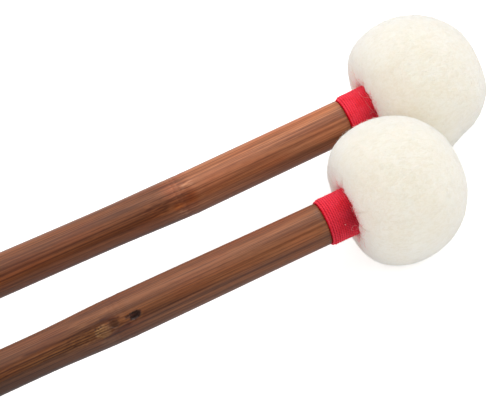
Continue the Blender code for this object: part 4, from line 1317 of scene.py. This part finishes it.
key_data = bpy.data.lights.new("key", "AREA")
key_data.shape = "SQUARE"
key_data.size = KEY_SIZE
key_data.energy = KEY_POWER
key = bpy.data.objects.new("key", key_data)
key.location = KEY_PLACE
key.rotation_euler = (KEY_PLACE - KEY_AIM).to_track_quat("Z", "Y").to_euler()
bpy.context.scene.collection.objects.link(key)
room = bpy.data.worlds.new("room")
room.use_nodes = True
room_tree = room.node_tree
room_shade = room_tree.nodes["Background"]
shown = seen_rays(room_tree, 1.0)
direct = seen_rays(room_tree, 0.0)
glossy = add_node(room_tree, "Math", {0: shown, 1: direct}, operation="SUBTRACT")
towards = add_node(room_tree, "TexCoord", {}).node.outputs["Generated"]
facing = add_node(room_tree, "VectorMath", {0: towards, 1: DIM_SIDE}, operation="DOT_PRODUCT")
facing = facing.node.outputs["Value"]
height = add_node(room_tree, "SeparateXYZ", {0: towards}).node.outputs["Z"]
side_dim = add_node(room_tree, "MapRange", {0: glossy, 3: DIM_FOR_LIGHT, 4: DIM_FOR_GLOSS})
side_dim = add_node(room_tree, "Math", {0: side_dim, 1: ramped(room_tree, facing, (0.55, 0.0), (0.85, 1.0))},
                    operation="MULTIPLY")
low_dim = add_node(room_tree, "Math", {0: glossy, 1: LOW_DIM_FOR_GLOSS}, operation="MULTIPLY")
low_dim = add_node(room_tree, "Math", {0: low_dim, 1: ramped(room_tree, height, (0.25, 1.0), (0.70, 0.0))},
                   operation="MULTIPLY")
dim = add_node(room_tree, "Math", {0: side_dim, 1: low_dim}, operation="MAXIMUM")
kept = add_node(room_tree, "Math", {0: 1.0, 1: dim}, operation="SUBTRACT")
level = add_node(room_tree, "MapRange", {0: shown, 3: ROOM_LEVEL, 4: 1.0})
strength = add_node(room_tree, "Math", {0: level, 1: kept}, operation="MULTIPLY")
strength = add_node(room_tree, "Math", {0: strength, 1: direct}, operation="MAXIMUM")
room_tree.links.new(strength, room_shade.inputs["Strength"])
room_shade.inputs["Color"].default_value = (1, 1, 1, 1)
bpy.context.scene.world = room

# Camera
# The photograph looks down on the pair from the front right with a long lens, and leans a little.
AZIMUTH = math.radians(-15.80)
ELEVATION = math.radians(44.08)
LEAN = math.radians(-11.80)
LENS_PIXELS = 3282.1
PICTURE_WIDTH = 500
CAMERA_DISTANCE = 1.0
AIM_FROM_HEAD = Vector((-0.04084, 0.01939, 0))

camera_data = bpy.data.cameras.new("camera")
camera_data.sensor_width = 36
camera_data.lens = LENS_PIXELS / PICTURE_WIDTH * camera_data.sensor_width
camera_data.clip_start = 0.05
camera = bpy.data.objects.new("camera", camera_data)
back_vector = Vector((math.sin(AZIMUTH) * math.cos(ELEVATION), -math.cos(AZIMUTH) * math.cos(ELEVATION),
                      math.sin(ELEVATION)))
level_right = Vector((math.cos(AZIMUTH), math.sin(AZIMUTH), 0))
level_up = back_vector.cross(level_right)
right = math.cos(LEAN) * level_right + math.sin(LEAN) * level_up
up = back_vector.cross(right)
camera_turn = Matrix((right, up, back_vector)).transposed().to_4x4()
aim = lie("front").translation + AIM_FROM_HEAD
camera.matrix_world = Matrix.Translation(aim + back_vector * CAMERA_DISTANCE) @ camera_turn
bpy.context.scene.collection.objects.link(camera)
bpy.context.scene.camera = camera
bpy.context.scene.view_settings.view_transform = "Standard"
